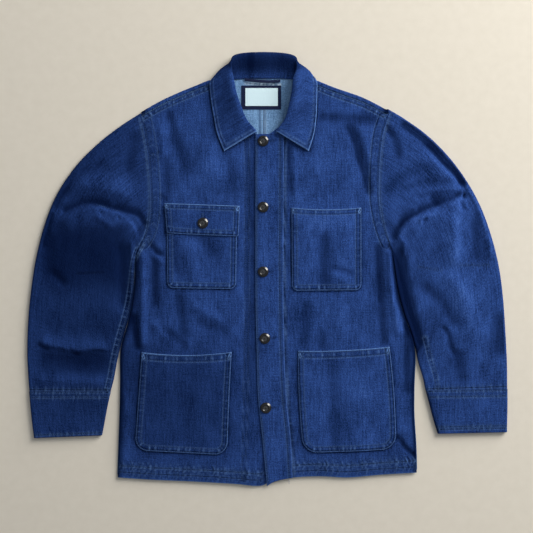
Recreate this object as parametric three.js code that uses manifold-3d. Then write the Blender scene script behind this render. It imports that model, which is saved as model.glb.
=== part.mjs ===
// A denim chore jacket laid flat on its back, front up. Lengths are in millimetres.
// X runs towards the jacket's own left, Y from hem to collar, Z up from the surface it lies on.
// The right front, sleeve and pockets are therefore the ones with negative X.
import * as THREE from 'three';
import { mergeVertices } from 'three/addons/utils/BufferGeometryUtils.js';
import Module from 'manifold-3d';

const wasm = await Module();
wasm.setup();

// Cloth and seams
const CLOTH = 1.2; // one layer of denim
const DOUBLE_CLOTH = 1.8; // two layers, as the collar and cuffs are made
const SEAM_GAP = 0.3; // daylight between pieces that are sewn together

// Heights of the panels' upper faces above the surface
const LOFT = 6; // a front where it lies loosely on the back
const UNDER_FRONT = 3.2; // the right front, pressed flat under the left one
const OVER_FRONT = 4.8; // the left front on top of it
const LOWEST_TOP = 3.4; // no trough presses a front lower than this
const SLEEVE_LOFT = 6.2;
const CUFF_LOFT = 6.8;
const EDGE_LEVEL = CLOTH + SEAM_GAP; // where a front's rolled side meets the back

// Places on the body
// Heights of the points that body and sleeve share along the armhole, from armpit to shoulder.
const ARMHOLE_STEPS = [36, 48, 60, 74, 90, 108, 130, 158, 190, 220, 248, 272, 288];
const CENTRE_BACK = -8; // the seam between the two back halves
const ARMPIT_Y = ARMHOLE_STEPS[0];
const SHOULDER_TIP_Y = ARMHOLE_STEPS.at(-1);
const FRONT_NECK_Y = 250;
const OVERLAP = 38; // how far the right front runs on under the left one
const SIDE_ROLL = 9; // width over which a front rolls down to the side seam
const HEM_REACH = 55; // length over which a front settles down towards its hem
const HEM_GUESS = -390; // about where the hem is, from which its place is found
const ARMPIT_REACH = 30; // length above the armpit over which the side edge rises to the sleeve
const SHOULDER_ROLL = 2.6; // radius at which the back turns over the shoulder
const SHOULDER_TURN = 5; // flat cloth of the back beyond that turn, up to the shoulder seam
// From this distance off the centre line the back begins to turn up, fully so a width further out.
const TURN_START = 84;
const TURN_WIDTH = 16;
const TURN_SHORTENED = 1.9; // how much shorter the turn is at the corner of the neck

// Where the fronts overlap they lie flat. The flat stretch ends at this distance from the left
// front's edge and loft grows from there over a width; folds begin at their own distance.
const OVERLAP_ZONES = {
  right: { flat: UNDER_FRONT, lowest: UNDER_FRONT, end: 6, width: 40, foldStart: 0 },
  left: { flat: OVER_FRONT, lowest: LOWEST_TOP, end: 54, width: 34, foldStart: 50 },
};
const FOLD_GROWTH = 30; // width over which folds grow to their full height

const COLOUR = {
  denim: 0x2a4376,
  reverse: 0x6f95bd,
  patch: 0x1b2646,
  label: 0xd8e2e4,
  button: 0x0c0d10,
};

// A table keeps a name for each of its columns.
const table = (names, rows) => rows.map((row) => Object.fromEntries(
  names.split(' ').map((name, column) => [name, row[column]]),
));

const clamp = (value, low, high) => Math.min(Math.max(value, low), high);
const mix = (a, b, t) => a + (b - a) * t;
const smooth = (value) => {
  const t = clamp(value, 0, 1);
  return t * t * (3 - 2 * t);
};
// Rises from 0 at an edge to 1 at the given reach, as a quarter ellipse does.
const rounded = (distance, reach) => Math.sqrt(1 - (1 - clamp(distance / reach, 0, 1)) ** 2);

// One column of a table as a smooth function of another, which has to rise from row to row.
function through(rows, from, to) {
  const xs = rows.map((row) => row[from]);
  const ys = rows.map((row) => row[to]);
  const last = xs.length - 1;
  const slope = (i) => {
    const a = Math.max(i - 1, 0);
    const b = Math.min(i + 1, last);
    return (ys[b] - ys[a]) / (xs[b] - xs[a]);
  };
  return (value) => {
    const x = clamp(value, xs[0], xs[last]);
    let i = 0;
    while (i < last - 1 && x > xs[i + 1]) i += 1;
    const width = xs[i + 1] - xs[i];
    const t = (x - xs[i]) / width;
    const rise = (2 * t - 3) * t * t;
    return ys[i] * (1 + rise) - ys[i + 1] * rise
      + width * t * (1 - t) * (slope(i) * (1 - t) - slope(i + 1) * t);
  };
}

// Outline of the body as it lies: x of each side seam by height.
const sideSeam = table('y right left', [
  [-386, -277, 276],
  [-325, -275, 274.5],
  [-269, -273, 271],
  [-222, -272, 271],
  [-193, -271.8, 272],
  [-169, -272, 273],
  [-148, -271, 272],
  [-127, -266, 268.5],
  [-114, -262, 263.7],
  [-98, -257.3, 257],
  [-66, -250.8, 246.5],
  [-29, -245.8, 238.5],
  [8, -243.8, 233.5],
  [ARMPIT_Y, -242.5, 231],
]);
const armhole = table('y right left', [
  [ARMPIT_Y, -242.5, 231],
  [60, -226, 220],
  [90, -217, 211],
  [125, -214, 205],
  [165, -215, 204],
  [210, -218.5, 206],
  [250, -224.5, 211],
  [SHOULDER_TIP_Y, -233.5, 223],
]);
const frontEdge = table('y x', [
  [-400, -1],
  [-306, -10],
  [-241, -17],
  [-167, -19.5],
  [-56, -22],
  [FRONT_NECK_Y, -22],
]);
const rightHem = table('x y', [
  [-277, -384],
  [-217, -388],
  [-147, -391],
  [-58, -396],
  [-12, -399.5],
  [6, -391],
  [40, -381],
]);
const leftHem = table('x y', [
  [-1, -399],
  [12, -392],
  [31, -387],
  [60, -383],
  [101, -382],
  [149, -384],
  [208, -379],
  [276, -375],
]);
const backHem = table('x y', [
  [-277, -379],
  [-147, -385],
  [0, -385],
  [101, -377],
  [276, -370],
]);
// The fold along each shoulder, by distance from the centre line.
const shoulder = table('out right left', [
  [80, 352, 353],
  [98, 350, 349.5],
  [125, 339.5, 338.5],
  [152, 328.5, 329],
  [178, 317, 320],
  [202, 304.5, 309],
  [226, 290.5, 296],
]);
// The neckline under the collar, by distance from the centre line.
const neckline = table('out y', [
  [12, 250],
  [19, 255.5],
  [37, 268],
  [56, 284],
  [69, 299],
  [78, 314],
  [84, 328],
  [85.5, 340.5],
]);
const backNeckline = table('out y', [
  [0, 354],
  [48, 353.5],
  [68, 352],
  [82, 347],
  [92, 343],
]);

// Folds: a soft ridge or trough along an arc from (x1, y1) to (x2, y2). bow is how far the arc
// swings to the left of its chord, width the half width of the fold, height its rise.
const foldColumns = 'x1 y1 x2 y2 bow width height';
const folds = {
  right: table(foldColumns, [
    [-174, 232, -156, 192, 0, 9, -3.0],
    [-120, 240, -96, 160, 0, 21, 2.6],
    [-217, 47, -194, 27, -2, 8, -2.4],
    [-230, 30, -230, -140, 0, 8, 4.0],
    [-209, 36, -208, -70, 0, 8, -2.4],
    [-247, -84, -238, -148, 0, 8, -3.0],
    [-166, -46, -154, -126, 0, 10, -2.2],
    [-216, -92, -186, -128, 0, 8, 2.0],
    [-140, -62, -84, -92, -4, 9, 2.0],
    [-148, 48, -132, -24, 0, 13, 2.2],
    [-262, -230, -262, -360, 0, 9, 1.8],
  ]),
  left: table(foldColumns, [
    [92, 280, 200, 276, 0, 8, -2.6],
    [149, 262, 187, 138, 6, 9, -3.0],
    [172, 264, 192, 190, 0, 8, 2.2],
    [104, 68, 104, -34, 0, 12, -2.4],
    [204, 44, 214, -140, 0, 8, -3.0],
    [225, 36, 242, -120, 2, 8, 4.0],
    [255, -100, 256, -230, 0, 8, -2.4],
    [239, -306, 273, -345, 3, 8, -2.8],
    [118, -180, 122, -330, 0, 10, -2.2],
    [135, -60, 140, -140, 0, 14, 1.8],
  ]),
  rightSleeve: table(foldColumns, [
    [-300, 200, -355, -60, 0, 65, 2.5],
    [-352, 154, -252, 136, 6, 20, 5.4],
    [-385, 110, -234, 94, 22, 9, -3.4],
    [-374, 84, -268, 88, 22, 16, 6.4],
    [-262, 88, -241, 52, 6, 13, 4.6],
    [-404, 66, -406, -12, 0, 8, -2.6],
    [-272, 30, -262, -40, 0, 9, -3.2],
    [-420, -124, -296, -138, -4, 15, 4.6],
    [-412, -160, -300, -172, -2, 13, -3.2],
    [-425, -200, -300, -205, 0, 12, 2.4],
    [-242, 246, -254, 178, -3, 11, -2.4],
  ]),
  leftSleeve: table(foldColumns, [
    [300, 200, 370, -100, 0, 60, 2.5],
    [318, 214, 368, 158, 5, 8, -3.6],
    [300, 214, 362, 158, 4, 11, 3.6],
    [212, 138, 295, 184, 10, 12, -2.4],
    [309, 112, 362, 140, -4, 8, -3.6],
    [236, 66, 309, 112, 12, 9, -3.6],
    [236, 42, 312, 92, 12, 14, 5.6],
    [312, 90, 358, 116, -4, 15, 6.0],
    [340, 100, 343, 10, 0, 20, 3.6],
    [378, 108, 384, 20, 0, 16, -2.6],
    [369, 155, 411, 24, 10, 8, 3.6],
    [331, -10, 362, -60, 4, 20, 3.8],
    [364, -60, 392, -160, 0, 22, 3.8],
    [300, -38, 342, -86, 0, 14, -2.4],
    [323, -104, 348, -142, 4, 8, -2.6],
    [242, 40, 282, -140, 4, 10, -3.0],
  ]),
};

// Height that folds add at (x, y): each is a bell across its arc and past its ends.
function foldHeight(creases, x, y) {
  let height = 0;
  for (const fold of creases) {
    const dx = fold.x2 - fold.x1;
    const dy = fold.y2 - fold.y1;
    const length = Math.hypot(dx, dy);
    const along = ((x - fold.x1) * dx + (y - fold.y1) * dy) / length;
    const t = clamp(along / length, 0, 1);
    const across = ((y - fold.y1) * dx - (x - fold.x1) * dy) / length - 4 * fold.bow * t * (1 - t);
    const beyond = Math.max(0, -along, along - length);
    height += fold.height * Math.exp(-(across ** 2 + beyond ** 2) / fold.width ** 2);
  }
  return height;
}

// What differs between the jacket's right and left half. sign is the direction of its side.
const halves = {};
for (const [name, sign] of [['right', -1], ['left', 1]]) {
  const below = through(sideSeam, 'y', name);
  const above = through(armhole, 'y', name);
  halves[name] = {
    name,
    sign,
    side: (y) => (y < ARMPIT_Y ? below(y) : above(y)),
    armhole: above,
    armholeLine: (y) => {
      // Straight between the armhole's points, as the faces of the panels are.
      const i = clamp(ARMHOLE_STEPS.findIndex((step) => step >= y), 1, ARMHOLE_STEPS.length - 1);
      const [from, to] = [ARMHOLE_STEPS[i - 1], ARMHOLE_STEPS[i]];
      return mix(above(from), above(to), (clamp(y, from, to) - from) / (to - from));
    },
    shoulder: through(shoulder, 'out', name),
    hem: through(name === 'right' ? rightHem : leftHem, 'x', 'y'),
  };
}
const frontEdgeAt = through(frontEdge, 'y', 'x');
const necklineAt = through(neckline, 'out', 'y');
const backNecklineAt = through(backNeckline, 'out', 'y');
const backHemAt = through(backHem, 'x', 'y');
const NECK_CORNER = 85.5; // half width of the neck where shoulder seam and neckline meet
const SHOULDER_SEAM_DROP = 9.5; // the shoulder seam lies this far below the shoulder fold

// Geometry from an outer and an inner grid of points, closed round its four sides.
function shellGeometry(outer, inner) {
  const rows = outer.length;
  const columns = outer[0].length;
  const points = [...outer.flat(), ...inner.flat()];
  const id = (row, column, layer) => layer * rows * columns + row * columns + column;
  const faces = [];
  const quad = (a, b, c, d) => faces.push([a, b, c], [a, c, d]);
  for (let r = 0; r < rows - 1; r += 1) {
    for (let c = 0; c < columns - 1; c += 1) {
      quad(id(r, c, 0), id(r, c + 1, 0), id(r + 1, c + 1, 0), id(r + 1, c, 0));
      // The inner face has the same diagonals, so that both stay parallel.
      const [a, b, e, d] = [id(r, c, 1), id(r, c + 1, 1), id(r + 1, c + 1, 1), id(r + 1, c, 1)];
      faces.push([a, e, b], [a, d, e]);
    }
  }
  for (let c = 0; c < columns - 1; c += 1) {
    quad(id(0, c, 0), id(0, c, 1), id(0, c + 1, 1), id(0, c + 1, 0));
    quad(id(rows - 1, c, 0), id(rows - 1, c + 1, 0), id(rows - 1, c + 1, 1), id(rows - 1, c, 1));
  }
  for (let r = 0; r < rows - 1; r += 1) {
    quad(id(r, 0, 0), id(r + 1, 0, 0), id(r + 1, 0, 1), id(r, 0, 1));
    const c = columns - 1;
    quad(id(r, c, 0), id(r, c, 1), id(r + 1, c, 1), id(r + 1, c, 0));
  }
  return facedOut(points, faces);
}

// Geometry of a tube from its outer and inner rings, closed by a flat band at each end.
function tubeGeometry(outer, inner) {
  const rings = outer.length;
  const around = outer[0].length;
  const points = [...outer.flat(), ...inner.flat()];
  const id = (ring, k, layer) => layer * rings * around + ring * around + (k % around);
  const faces = [];
  const quad = (a, b, c, d) => faces.push([a, b, c], [a, c, d]);
  for (let k = 0; k < around; k += 1) {
    for (let r = 0; r < rings - 1; r += 1) {
      quad(id(r, k, 0), id(r, k + 1, 0), id(r + 1, k + 1, 0), id(r + 1, k, 0));
      quad(id(r, k, 1), id(r + 1, k, 1), id(r + 1, k + 1, 1), id(r, k + 1, 1));
    }
    const end = rings - 1;
    quad(id(0, k, 0), id(0, k, 1), id(0, k + 1, 1), id(0, k + 1, 0));
    quad(id(end, k, 0), id(end, k + 1, 0), id(end, k + 1, 1), id(end, k, 1));
  }
  return facedOut(points, faces);
}

// Turns the faces round if they point inwards, which the sign of the volume tells.
function facedOut(points, faces) {
  let volume = 0;
  for (const [a, b, c] of faces) {
    volume += points[a].dot(new THREE.Vector3().crossVectors(points[b], points[c]));
  }
  const turned = volume < 0 ? faces.map(([a, b, c]) => [a, c, b]) : faces;
  const geometry = new THREE.BufferGeometry();
  geometry.setAttribute('position', new THREE.Float32BufferAttribute(
    points.flatMap((point) => [point.x, point.y, point.z]),
    3,
  ));
  geometry.setIndex(turned.flat());
  return geometry;
}

// Normals of a grid of points, from the differences between neighbours.
function gridNormals(grid) {
  const rows = grid.length;
  const columns = grid[0].length;
  return grid.map((line, r) => line.map((_, c) => {
    const alongRow = grid[r][Math.min(c + 1, columns - 1)].clone().sub(grid[r][Math.max(c - 1, 0)]);
    const alongColumn = grid[Math.min(r + 1, rows - 1)][c].clone().sub(grid[Math.max(r - 1, 0)][c]);
    return alongRow.cross(alongColumn).normalize();
  }));
}

const moved = (grid, normals, distance) => grid.map((line, r) => line.map(
  (point, c) => point.clone().addScaledVector(normals[r][c], distance),
));
const raised = (grid, height) => grid.map((line) => line.map(
  (point) => new THREE.Vector3(point.x, point.y, point.z + height),
));

// Solids for cutting and joining.
function solidFrom(geometry) {
  const bare = geometry.index ? geometry.clone() : geometry;
  bare.deleteAttribute('normal');
  bare.deleteAttribute('uv');
  const merged = mergeVertices(bare, 1e-4);
  return new wasm.Manifold(new wasm.Mesh({
    numProp: 3,
    vertProperties: new Float32Array(merged.attributes.position.array),
    triVerts: new Uint32Array(merged.index.array),
  }));
}
function geometryFrom(solid) {
  const mesh = solid.getMesh();
  const geometry = new THREE.BufferGeometry();
  geometry.setAttribute('position', new THREE.BufferAttribute(mesh.vertProperties, 3));
  geometry.setIndex(new THREE.BufferAttribute(mesh.triVerts, 1));
  return geometry;
}

const jacket = new THREE.Group();
jacket.name = 'chore_jacket';
function add(name, geometry, colour, roughness = 0.9) {
  const plain = geometry.index ? geometry : mergeVertices(geometry);
  plain.computeVertexNormals();
  const material = new THREE.MeshStandardMaterial({ color: colour, roughness, metalness: 0 });
  const mesh = new THREE.Mesh(plain, material);
  mesh.name = name;
  jacket.add(mesh);
  return mesh;
}

// Columns of a front: those up to the corner of the neck, closer together towards it by a
// power, then even ones and last those of the roll at the side.
const NECK_COLUMNS = 7;
const NECK_POWER = 1.6;
const CHEST_COLUMNS = 8;
const ROLL_COLUMNS = 3;
const SIDE_STEPS = 13; // rows below the armpit
// Heights of the rows of a panel at its side edge: even ones up to the armpit, then the armhole's.
const rowHeights = (bottom, steps, top) => [
  ...Array.from({ length: steps }, (_, i) => mix(bottom, ARMPIT_Y, i / steps)),
  ...ARMHOLE_STEPS.filter((y) => y < top),
  top,
];

// Upper face of a front: loft, lower at its edges, with its folds.
function frontLevel(half, x, y) {
  const zone = OVERLAP_ZONES[half.name];
  const fromEdge = (x - frontEdgeAt(y)) * half.sign;
  const folded = foldHeight(folds[half.name], x, y) * smooth((fromEdge - zone.foldStart) / FOLD_GROWTH);
  const loose = mix(zone.flat, LOFT, smooth((fromEdge - zone.end) / zone.width)) + folded;
  const settled = mix(Math.min(loose, OVER_FRONT), loose, smooth((y - half.hem(x)) / HEM_REACH));
  const level = Math.max(settled, zone.lowest);
  // Below the armpit the side rolls down to the back; above it the edge meets the sleeve.
  const edge = mix(EDGE_LEVEL + CLOTH, level, rounded(y - ARMPIT_Y, ARMPIT_REACH));
  return mix(edge, level, rounded(Math.abs(half.side(y) - x), SIDE_ROLL));
}

function frontGrid(half) {
  const { sign } = half;
  const start = half.name === 'right' ? OVERLAP : 0;
  const inner = (y) => frontEdgeAt(y) + start;
  const topLine = (x) => {
    const out = Math.abs(x - CENTRE_BACK);
    if (out > NECK_CORNER) return half.shoulder(out) - SHOULDER_SEAM_DROP;
    const facesOwnSide = (x - CENTRE_BACK) * sign > 0;
    return facesOwnSide ? necklineAt(out) : FRONT_NECK_Y;
  };
  // One column runs into the corner of the neck, and those beside it are closer together.
  const corner = (CENTRE_BACK + sign * NECK_CORNER - inner(SHOULDER_TIP_Y))
    / (half.side(SHOULDER_TIP_Y) - sign * SIDE_ROLL - inner(SHOULDER_TIP_Y));
  const across = [];
  for (let c = 0; c < NECK_COLUMNS; c += 1) {
    across.push({ share: corner * (1 - (1 - c / NECK_COLUMNS) ** NECK_POWER), roll: 1 });
  }
  for (let c = 0; c <= CHEST_COLUMNS; c += 1) {
    across.push({ share: mix(corner, 1, c / CHEST_COLUMNS), roll: 1 });
  }
  for (let c = 1; c <= ROLL_COLUMNS; c += 1) {
    across.push({ share: 1, roll: 1 - Math.sin((Math.PI / 2) * (c / ROLL_COLUMNS)) });
  }
  const xAt = ({ share, roll }, y) => mix(inner(y), half.side(y) - sign * SIDE_ROLL, share)
    + sign * SIDE_ROLL * (1 - roll);
  const sideTop = half.shoulder(Math.abs(half.side(SHOULDER_TIP_Y) - CENTRE_BACK)) - SHOULDER_SEAM_DROP;
  const sideBottom = half.hem(half.side(HEM_GUESS));
  const grid = [];
  for (const height of rowHeights(sideBottom, SIDE_STEPS, sideTop)) {
    const share = (height - sideBottom) / (sideTop - sideBottom);
    grid.push(across.map((column) => {
      let bottom = HEM_GUESS;
      let top = SHOULDER_TIP_Y;
      for (let pass = 0; pass < 4; pass += 1) {
        bottom = half.hem(xAt(column, bottom));
        top = topLine(xAt(column, top));
      }
      const y = mix(bottom, top, share);
      const x = xAt(column, y);
      return new THREE.Vector3(x, y, frontLevel(half, x, y));
    }));
  }
  return grid;
}

// A layer sewn on a panel: the panel's own points moved out, cut to the layer's outline.
const CUTTER_HEIGHT = 80; // half of it stands above the surface and is taller than the jacket
function layerOn(grid, from, thickness, outline) {
  const slab = solidFrom(shellGeometry(raised(grid, from + thickness), raised(grid, from)));
  const prism = new THREE.ExtrudeGeometry(outline, {
    depth: CUTTER_HEIGHT,
    bevelEnabled: false,
    curveSegments: 5,
  });
  prism.translate(0, 0, -CUTTER_HEIGHT / 2);
  return geometryFrom(slab.intersect(solidFrom(prism)));
}

// A closed outline with its corners rounded, each corner given as x, y and radius.
function roundedOutline(corners) {
  const shape = new THREE.Shape();
  corners.forEach((corner, i) => {
    const before = corners[(i + corners.length - 1) % corners.length];
    const after = corners[(i + 1) % corners.length];
    const towards = (other) => {
      const distance = Math.hypot(other.x - corner.x, other.y - corner.y);
      const t = corner.radius / distance;
      return [mix(corner.x, other.x, t), mix(corner.y, other.y, t)];
    };
    const begin = towards(before);
    if (i === 0) shape.moveTo(...begin);
    else shape.lineTo(...begin);
    if (corner.radius > 0) shape.quadraticCurveTo(corner.x, corner.y, ...towards(after));
  });
  shape.closePath();
  return shape;
}

// Pockets, each by its four corners: top edge first, then the rounded ones at the bottom.
const cornerColumns = 'x y radius';
const pockets = {
  chest_pocket_right: table(cornerColumns, [
    [-186, 108, 0], [-56, 104, 0], [-58, -36, 13], [-185, -34, 13],
  ]),
  chest_pocket_left: table(cornerColumns, [
    [44, 114, 0], [108, 110.5, 0], [173, 114, 0], [173, -38, 11], [45, -39, 11],
  ]),
  hip_pocket_right: table(cornerColumns, [
    [-232, -152, 0], [-145, -158, 0], [-66, -152, 0], [-69, -250, 0], [-74, -342, 24],
    [-160, -338, 0], [-245, -333, 24], [-240, -232, 0],
  ]),
  hip_pocket_left: table(cornerColumns, [
    [56, -150, 0], [140, -149, 0], [225, -142, 0], [228, -217, 0], [237, -330, 26],
    [150, -335, 0], [66, -337, 26], [59, -236, 0],
  ]),
};
const FLAP = table(cornerColumns, [
  [-190, 122, 3], [-51, 117, 3], [-53, 61, 5], [-185.5, 67, 5],
]);

// The strip with the buttons, along the left front's edge, by its width at each height
const PLACKET_WIDTH = table('y width', [
  [-400, 48],
  [-306, 52],
  [-140, 51],
  [FRONT_NECK_Y, 52],
]);
// Room for the placket's outline, which the panel below it trims on its other three sides
const PLACKET_ROOM = { left: -60, low: -420, high: 300, steps: 9 };
function placketOutline() {
  const { left, low, high, steps } = PLACKET_ROOM;
  const width = through(PLACKET_WIDTH, 'y', 'width');
  const shape = new THREE.Shape();
  shape.moveTo(left, low);
  for (let i = 0; i <= steps; i += 1) {
    const y = mix(low, high, i / steps);
    shape.lineTo(frontEdgeAt(y) + width(y), y);
  }
  shape.lineTo(left, high);
  shape.closePath();
  return shape;
}

// Shares of a back half's width at which its columns lie, closer together at the neck's corner.
const BACK_COLUMNS = [0, 0.14, 0.27, 0.34, 0.38, 0.415, 0.45, 0.53, 0.68, 0.84, 1];
const BACK_STEPS = 5; // rows below the armpit
const TURN_ROWS = 5; // rows on the turn over the shoulder
function backGrid(half) {
  const { sign } = half;
  const sideBottom = backHemAt(half.side(HEM_GUESS));
  const heights = rowHeights(sideBottom, BACK_STEPS, SHOULDER_TIP_Y);
  const shares = heights.map((height) => (height - sideBottom) / (SHOULDER_TIP_Y - sideBottom));
  const lastRow = shares.length - 1;
  const grid = [];
  for (let r = 0; r <= lastRow + TURN_ROWS; r += 1) {
    const line = [];
    for (const share of BACK_COLUMNS) {
      const middle = CENTRE_BACK + sign * SEAM_GAP / 2;
      const inset = sign * SEAM_GAP;
      const xAt = (y) => mix(middle, half.side(y) - inset, share);
      const out = Math.abs(xAt(SHOULDER_TIP_Y) - CENTRE_BACK);
      const curl = smooth((out - TURN_START) / TURN_WIDTH);
      // Half turned, at the corner of the neck, the turn is shorter, so that it doesn't stand up.
      const turnLength = (Math.PI * SHOULDER_ROLL + SHOULDER_TURN)
        * (1 - TURN_SHORTENED * curl * (1 - curl));
      const flatTop = backNecklineAt(out) - turnLength;
      const turnedTop = half.shoulder(out) - SHOULDER_ROLL;
      const start = mix(flatTop, turnedTop, curl);
      if (r <= lastRow) {
        const y = mix(backHemAt(xAt(HEM_GUESS)), start, shares[r]);
        line.push(new THREE.Vector3(xAt(y), y, 0));
      } else {
        const run = turnLength * ((r - lastRow) / TURN_ROWS);
        line.push(turnedPoint(xAt(start), start, run, curl));
      }
    }
    grid.push(line);
  }
  return grid;
}

// Cloth that runs on past y flat, or turns up and over by curl times half a turn.
function turnedPoint(x, y, run, curl) {
  if (curl < 0.01) return new THREE.Vector3(x, y + run, 0);
  const radius = SHOULDER_ROLL / curl;
  const angle = Math.min(run / radius, Math.PI * curl);
  const rest = run - angle * radius;
  return new THREE.Vector3(
    x,
    y + radius * Math.sin(angle) + rest * Math.cos(angle),
    radius * (1 - Math.cos(angle)) + rest * Math.sin(angle),
  );
}

for (const half of Object.values(halves)) {
  const grid = backGrid(half);
  const normals = gridNormals(grid);
  const inward = normals[1][1].z > 0 ? 1 : -1;
  add(`back_${half.name}`, shellGeometry(grid, moved(grid, normals, inward * CLOTH)), COLOUR.denim);
}

const fronts = {};
for (const half of Object.values(halves)) {
  fronts[half.name] = frontGrid(half);
  const grid = fronts[half.name];
  add(`front_${half.name}`, shellGeometry(grid, raised(grid, -CLOTH)), COLOUR.denim);
}
add('front_placket', layerOn(fronts.left, SEAM_GAP, CLOTH, placketOutline()), COLOUR.denim);
for (const [name, corners] of Object.entries(pockets)) {
  const panel = name.endsWith('right') ? fronts.right : fronts.left;
  add(name, layerOn(panel, SEAM_GAP, CLOTH, roundedOutline(corners)), COLOUR.denim);
}
const FLAP_LEVEL = 2 * SEAM_GAP + CLOTH;
add('chest_pocket_flap', layerOn(fronts.right, FLAP_LEVEL, CLOTH, roundedOutline(FLAP)), COLOUR.denim);

// Sleeves and cuffs: each row is a section across the tube, from its outer to its inner edge.
const sectionColumns = 'outerX outerY innerX innerY';
const sleeveSections = {
  right: table(sectionColumns, [
    [-234.5, 289, -242.7, 35],
    [-270, 266, -243.5, 24],
    [-310, 235, -244.2, 10],
    [-352, 193, -245.3, -8],
    [-388, 140, -246.6, -32],
    [-411, 84, -249.8, -58],
    [-427, 22, -255, -86],
    [-436, -35, -262.4, -112],
    [-441.5, -90, -270.3, -140],
    [-443.5, -150, -277.5, -170],
    [-442, -190, -283, -200],
    [-439.5, -225, -289.3, -225],
  ]),
  left: table(sectionColumns, [
    [224, 296, 231.2, 39],
    [255, 277, 232.4, 24],
    [297, 246, 233.6, 10],
    [338, 204, 235.6, -8],
    [371, 158, 239.3, -32],
    [396, 110, 245, -58],
    [416, 52, 253.1, -86],
    [428, 0, 263.2, -112],
    [435, -55, 271.5, -140],
    [439.5, -120, 277.8, -170],
    [442, -172, 286.8, -200],
    [442.5, -221, 291.6, -223],
  ]),
};
const cuffSections = {
  right: table(sectionColumns, [
    [-440, -225.3, -289, -225.3],
    [-437.5, -254, -295, -252],
    [-434.5, -283, -300, -279],
    [-431, -311, -305, -306],
  ]),
  left: table(sectionColumns, [
    [443, -221.3, 291.8, -223.3],
    [443, -248, 299, -250],
    [442.5, -275, 306, -277],
    [442, -300, 314, -303],
  ]),
};
const TUBE_EDGE = 4.2; // how far in from its edge a flattened tube is rounded
const TUBE_FOLD_GROWTH = 12; // width over which folds grow to full height, from the edge inwards
const LOWEST_TUBE = 3.8; // no trough presses a tube's upper face lower than this

// A flattened tube: for each section a ring that lies flat below and carries the folds above.
function flatTube({ sections, rings, loft, wall, shift, creases, steps }) {
  const numbered = sections.map((row, index) => ({ ...row, index }));
  const [outerX, outerY, innerX, innerY] = ['outerX', 'outerY', 'innerX', 'innerY']
    .map((name) => through(numbered, 'index', name));
  const last = sections.length - 1;
  // Shares across the tube, closer together on its two rounded edges.
  const shares = (width) => {
    const edge = TUBE_EDGE / width;
    const near = [0, 1 - Math.cos(Math.PI / 5), 1].map((t) => t * edge);
    return [...near, ...steps, ...near.map((t) => 1 - t).reverse()];
  };
  const ring = (index, inset) => {
    const from = new THREE.Vector2(outerX(index), outerY(index));
    const to = new THREE.Vector2(innerX(index), innerY(index));
    const width = from.distanceTo(to);
    const across = shares(width);
    const place = (share) => {
      const insetShare = mix(inset / width, 1 - inset / width, share);
      const x = mix(from.x, to.x, insetShare) + shift(index, insetShare);
      return new THREE.Vector3(x, mix(from.y, to.y, insetShare), 0);
    };
    const roundness = (share) => rounded(Math.min(share, 1 - share) * width, TUBE_EDGE);
    const middle = loft / 2;
    const top = across.map((share) => {
      const point = place(share);
      const inside = smooth((Math.min(share, 1 - share) * width - TUBE_EDGE) / TUBE_FOLD_GROWTH);
      const level = Math.max(loft + foldHeight(creases, point.x, point.y) * inside, LOWEST_TUBE);
      point.z = mix(middle, level - inset, roundness(share));
      return point;
    });
    const bottom = across.slice(1, -1).reverse().map((share) => {
      const point = place(share);
      point.z = mix(middle, inset, roundness(share));
      return point;
    });
    return [...top, ...bottom];
  };
  const outer = [];
  const inner = [];
  for (let r = 0; r <= rings; r += 1) {
    const index = last * (r / rings);
    outer.push(ring(index, 0));
    inner.push(ring(index, wall));
  }
  return tubeGeometry(outer, inner);
}

const ARMHOLE_REACH = 3; // number of sections over which the armhole's curve dies out
const ARMHOLE_CLEAR = 1.3; // how far a sleeve stays off the body
for (const half of Object.values(halves)) {
  const sections = sleeveSections[half.name];
  const first = sections[0];
  // At the armhole the sections bend inwards to follow the front's armhole seam.
  const shift = (index, share) => {
    const y = mix(first.outerY, first.innerY, share);
    const chord = mix(first.outerX, first.innerX, share);
    const bend = half.armholeLine(y) - chord;
    const fade = Math.max(0, 1 - index / ARMHOLE_REACH) ** 2;
    return bend * fade + half.sign * ARMHOLE_CLEAR;
  };
  const creases = folds[`${half.name}Sleeve`];
  const steps = ARMHOLE_STEPS.slice(1, -1).reverse()
    .map((y) => (first.outerY - y) / (first.outerY - first.innerY));
  const sleeve = { sections, rings: 15, loft: SLEEVE_LOFT, wall: CLOTH, shift, creases, steps };
  add(`sleeve_${half.name}`, flatTube(sleeve), COLOUR.denim);
  const cuff = {
    sections: cuffSections[half.name],
    rings: 3,
    loft: CUFF_LOFT,
    wall: DOUBLE_CLOTH,
    shift: () => half.sign * ARMHOLE_CLEAR,
    creases: [],
    steps: [0.1, 0.3, 0.5, 0.7, 0.9],
  };
  add(`cuff_${half.name}`, flatTube(cuff), COLOUR.denim);
}

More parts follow.
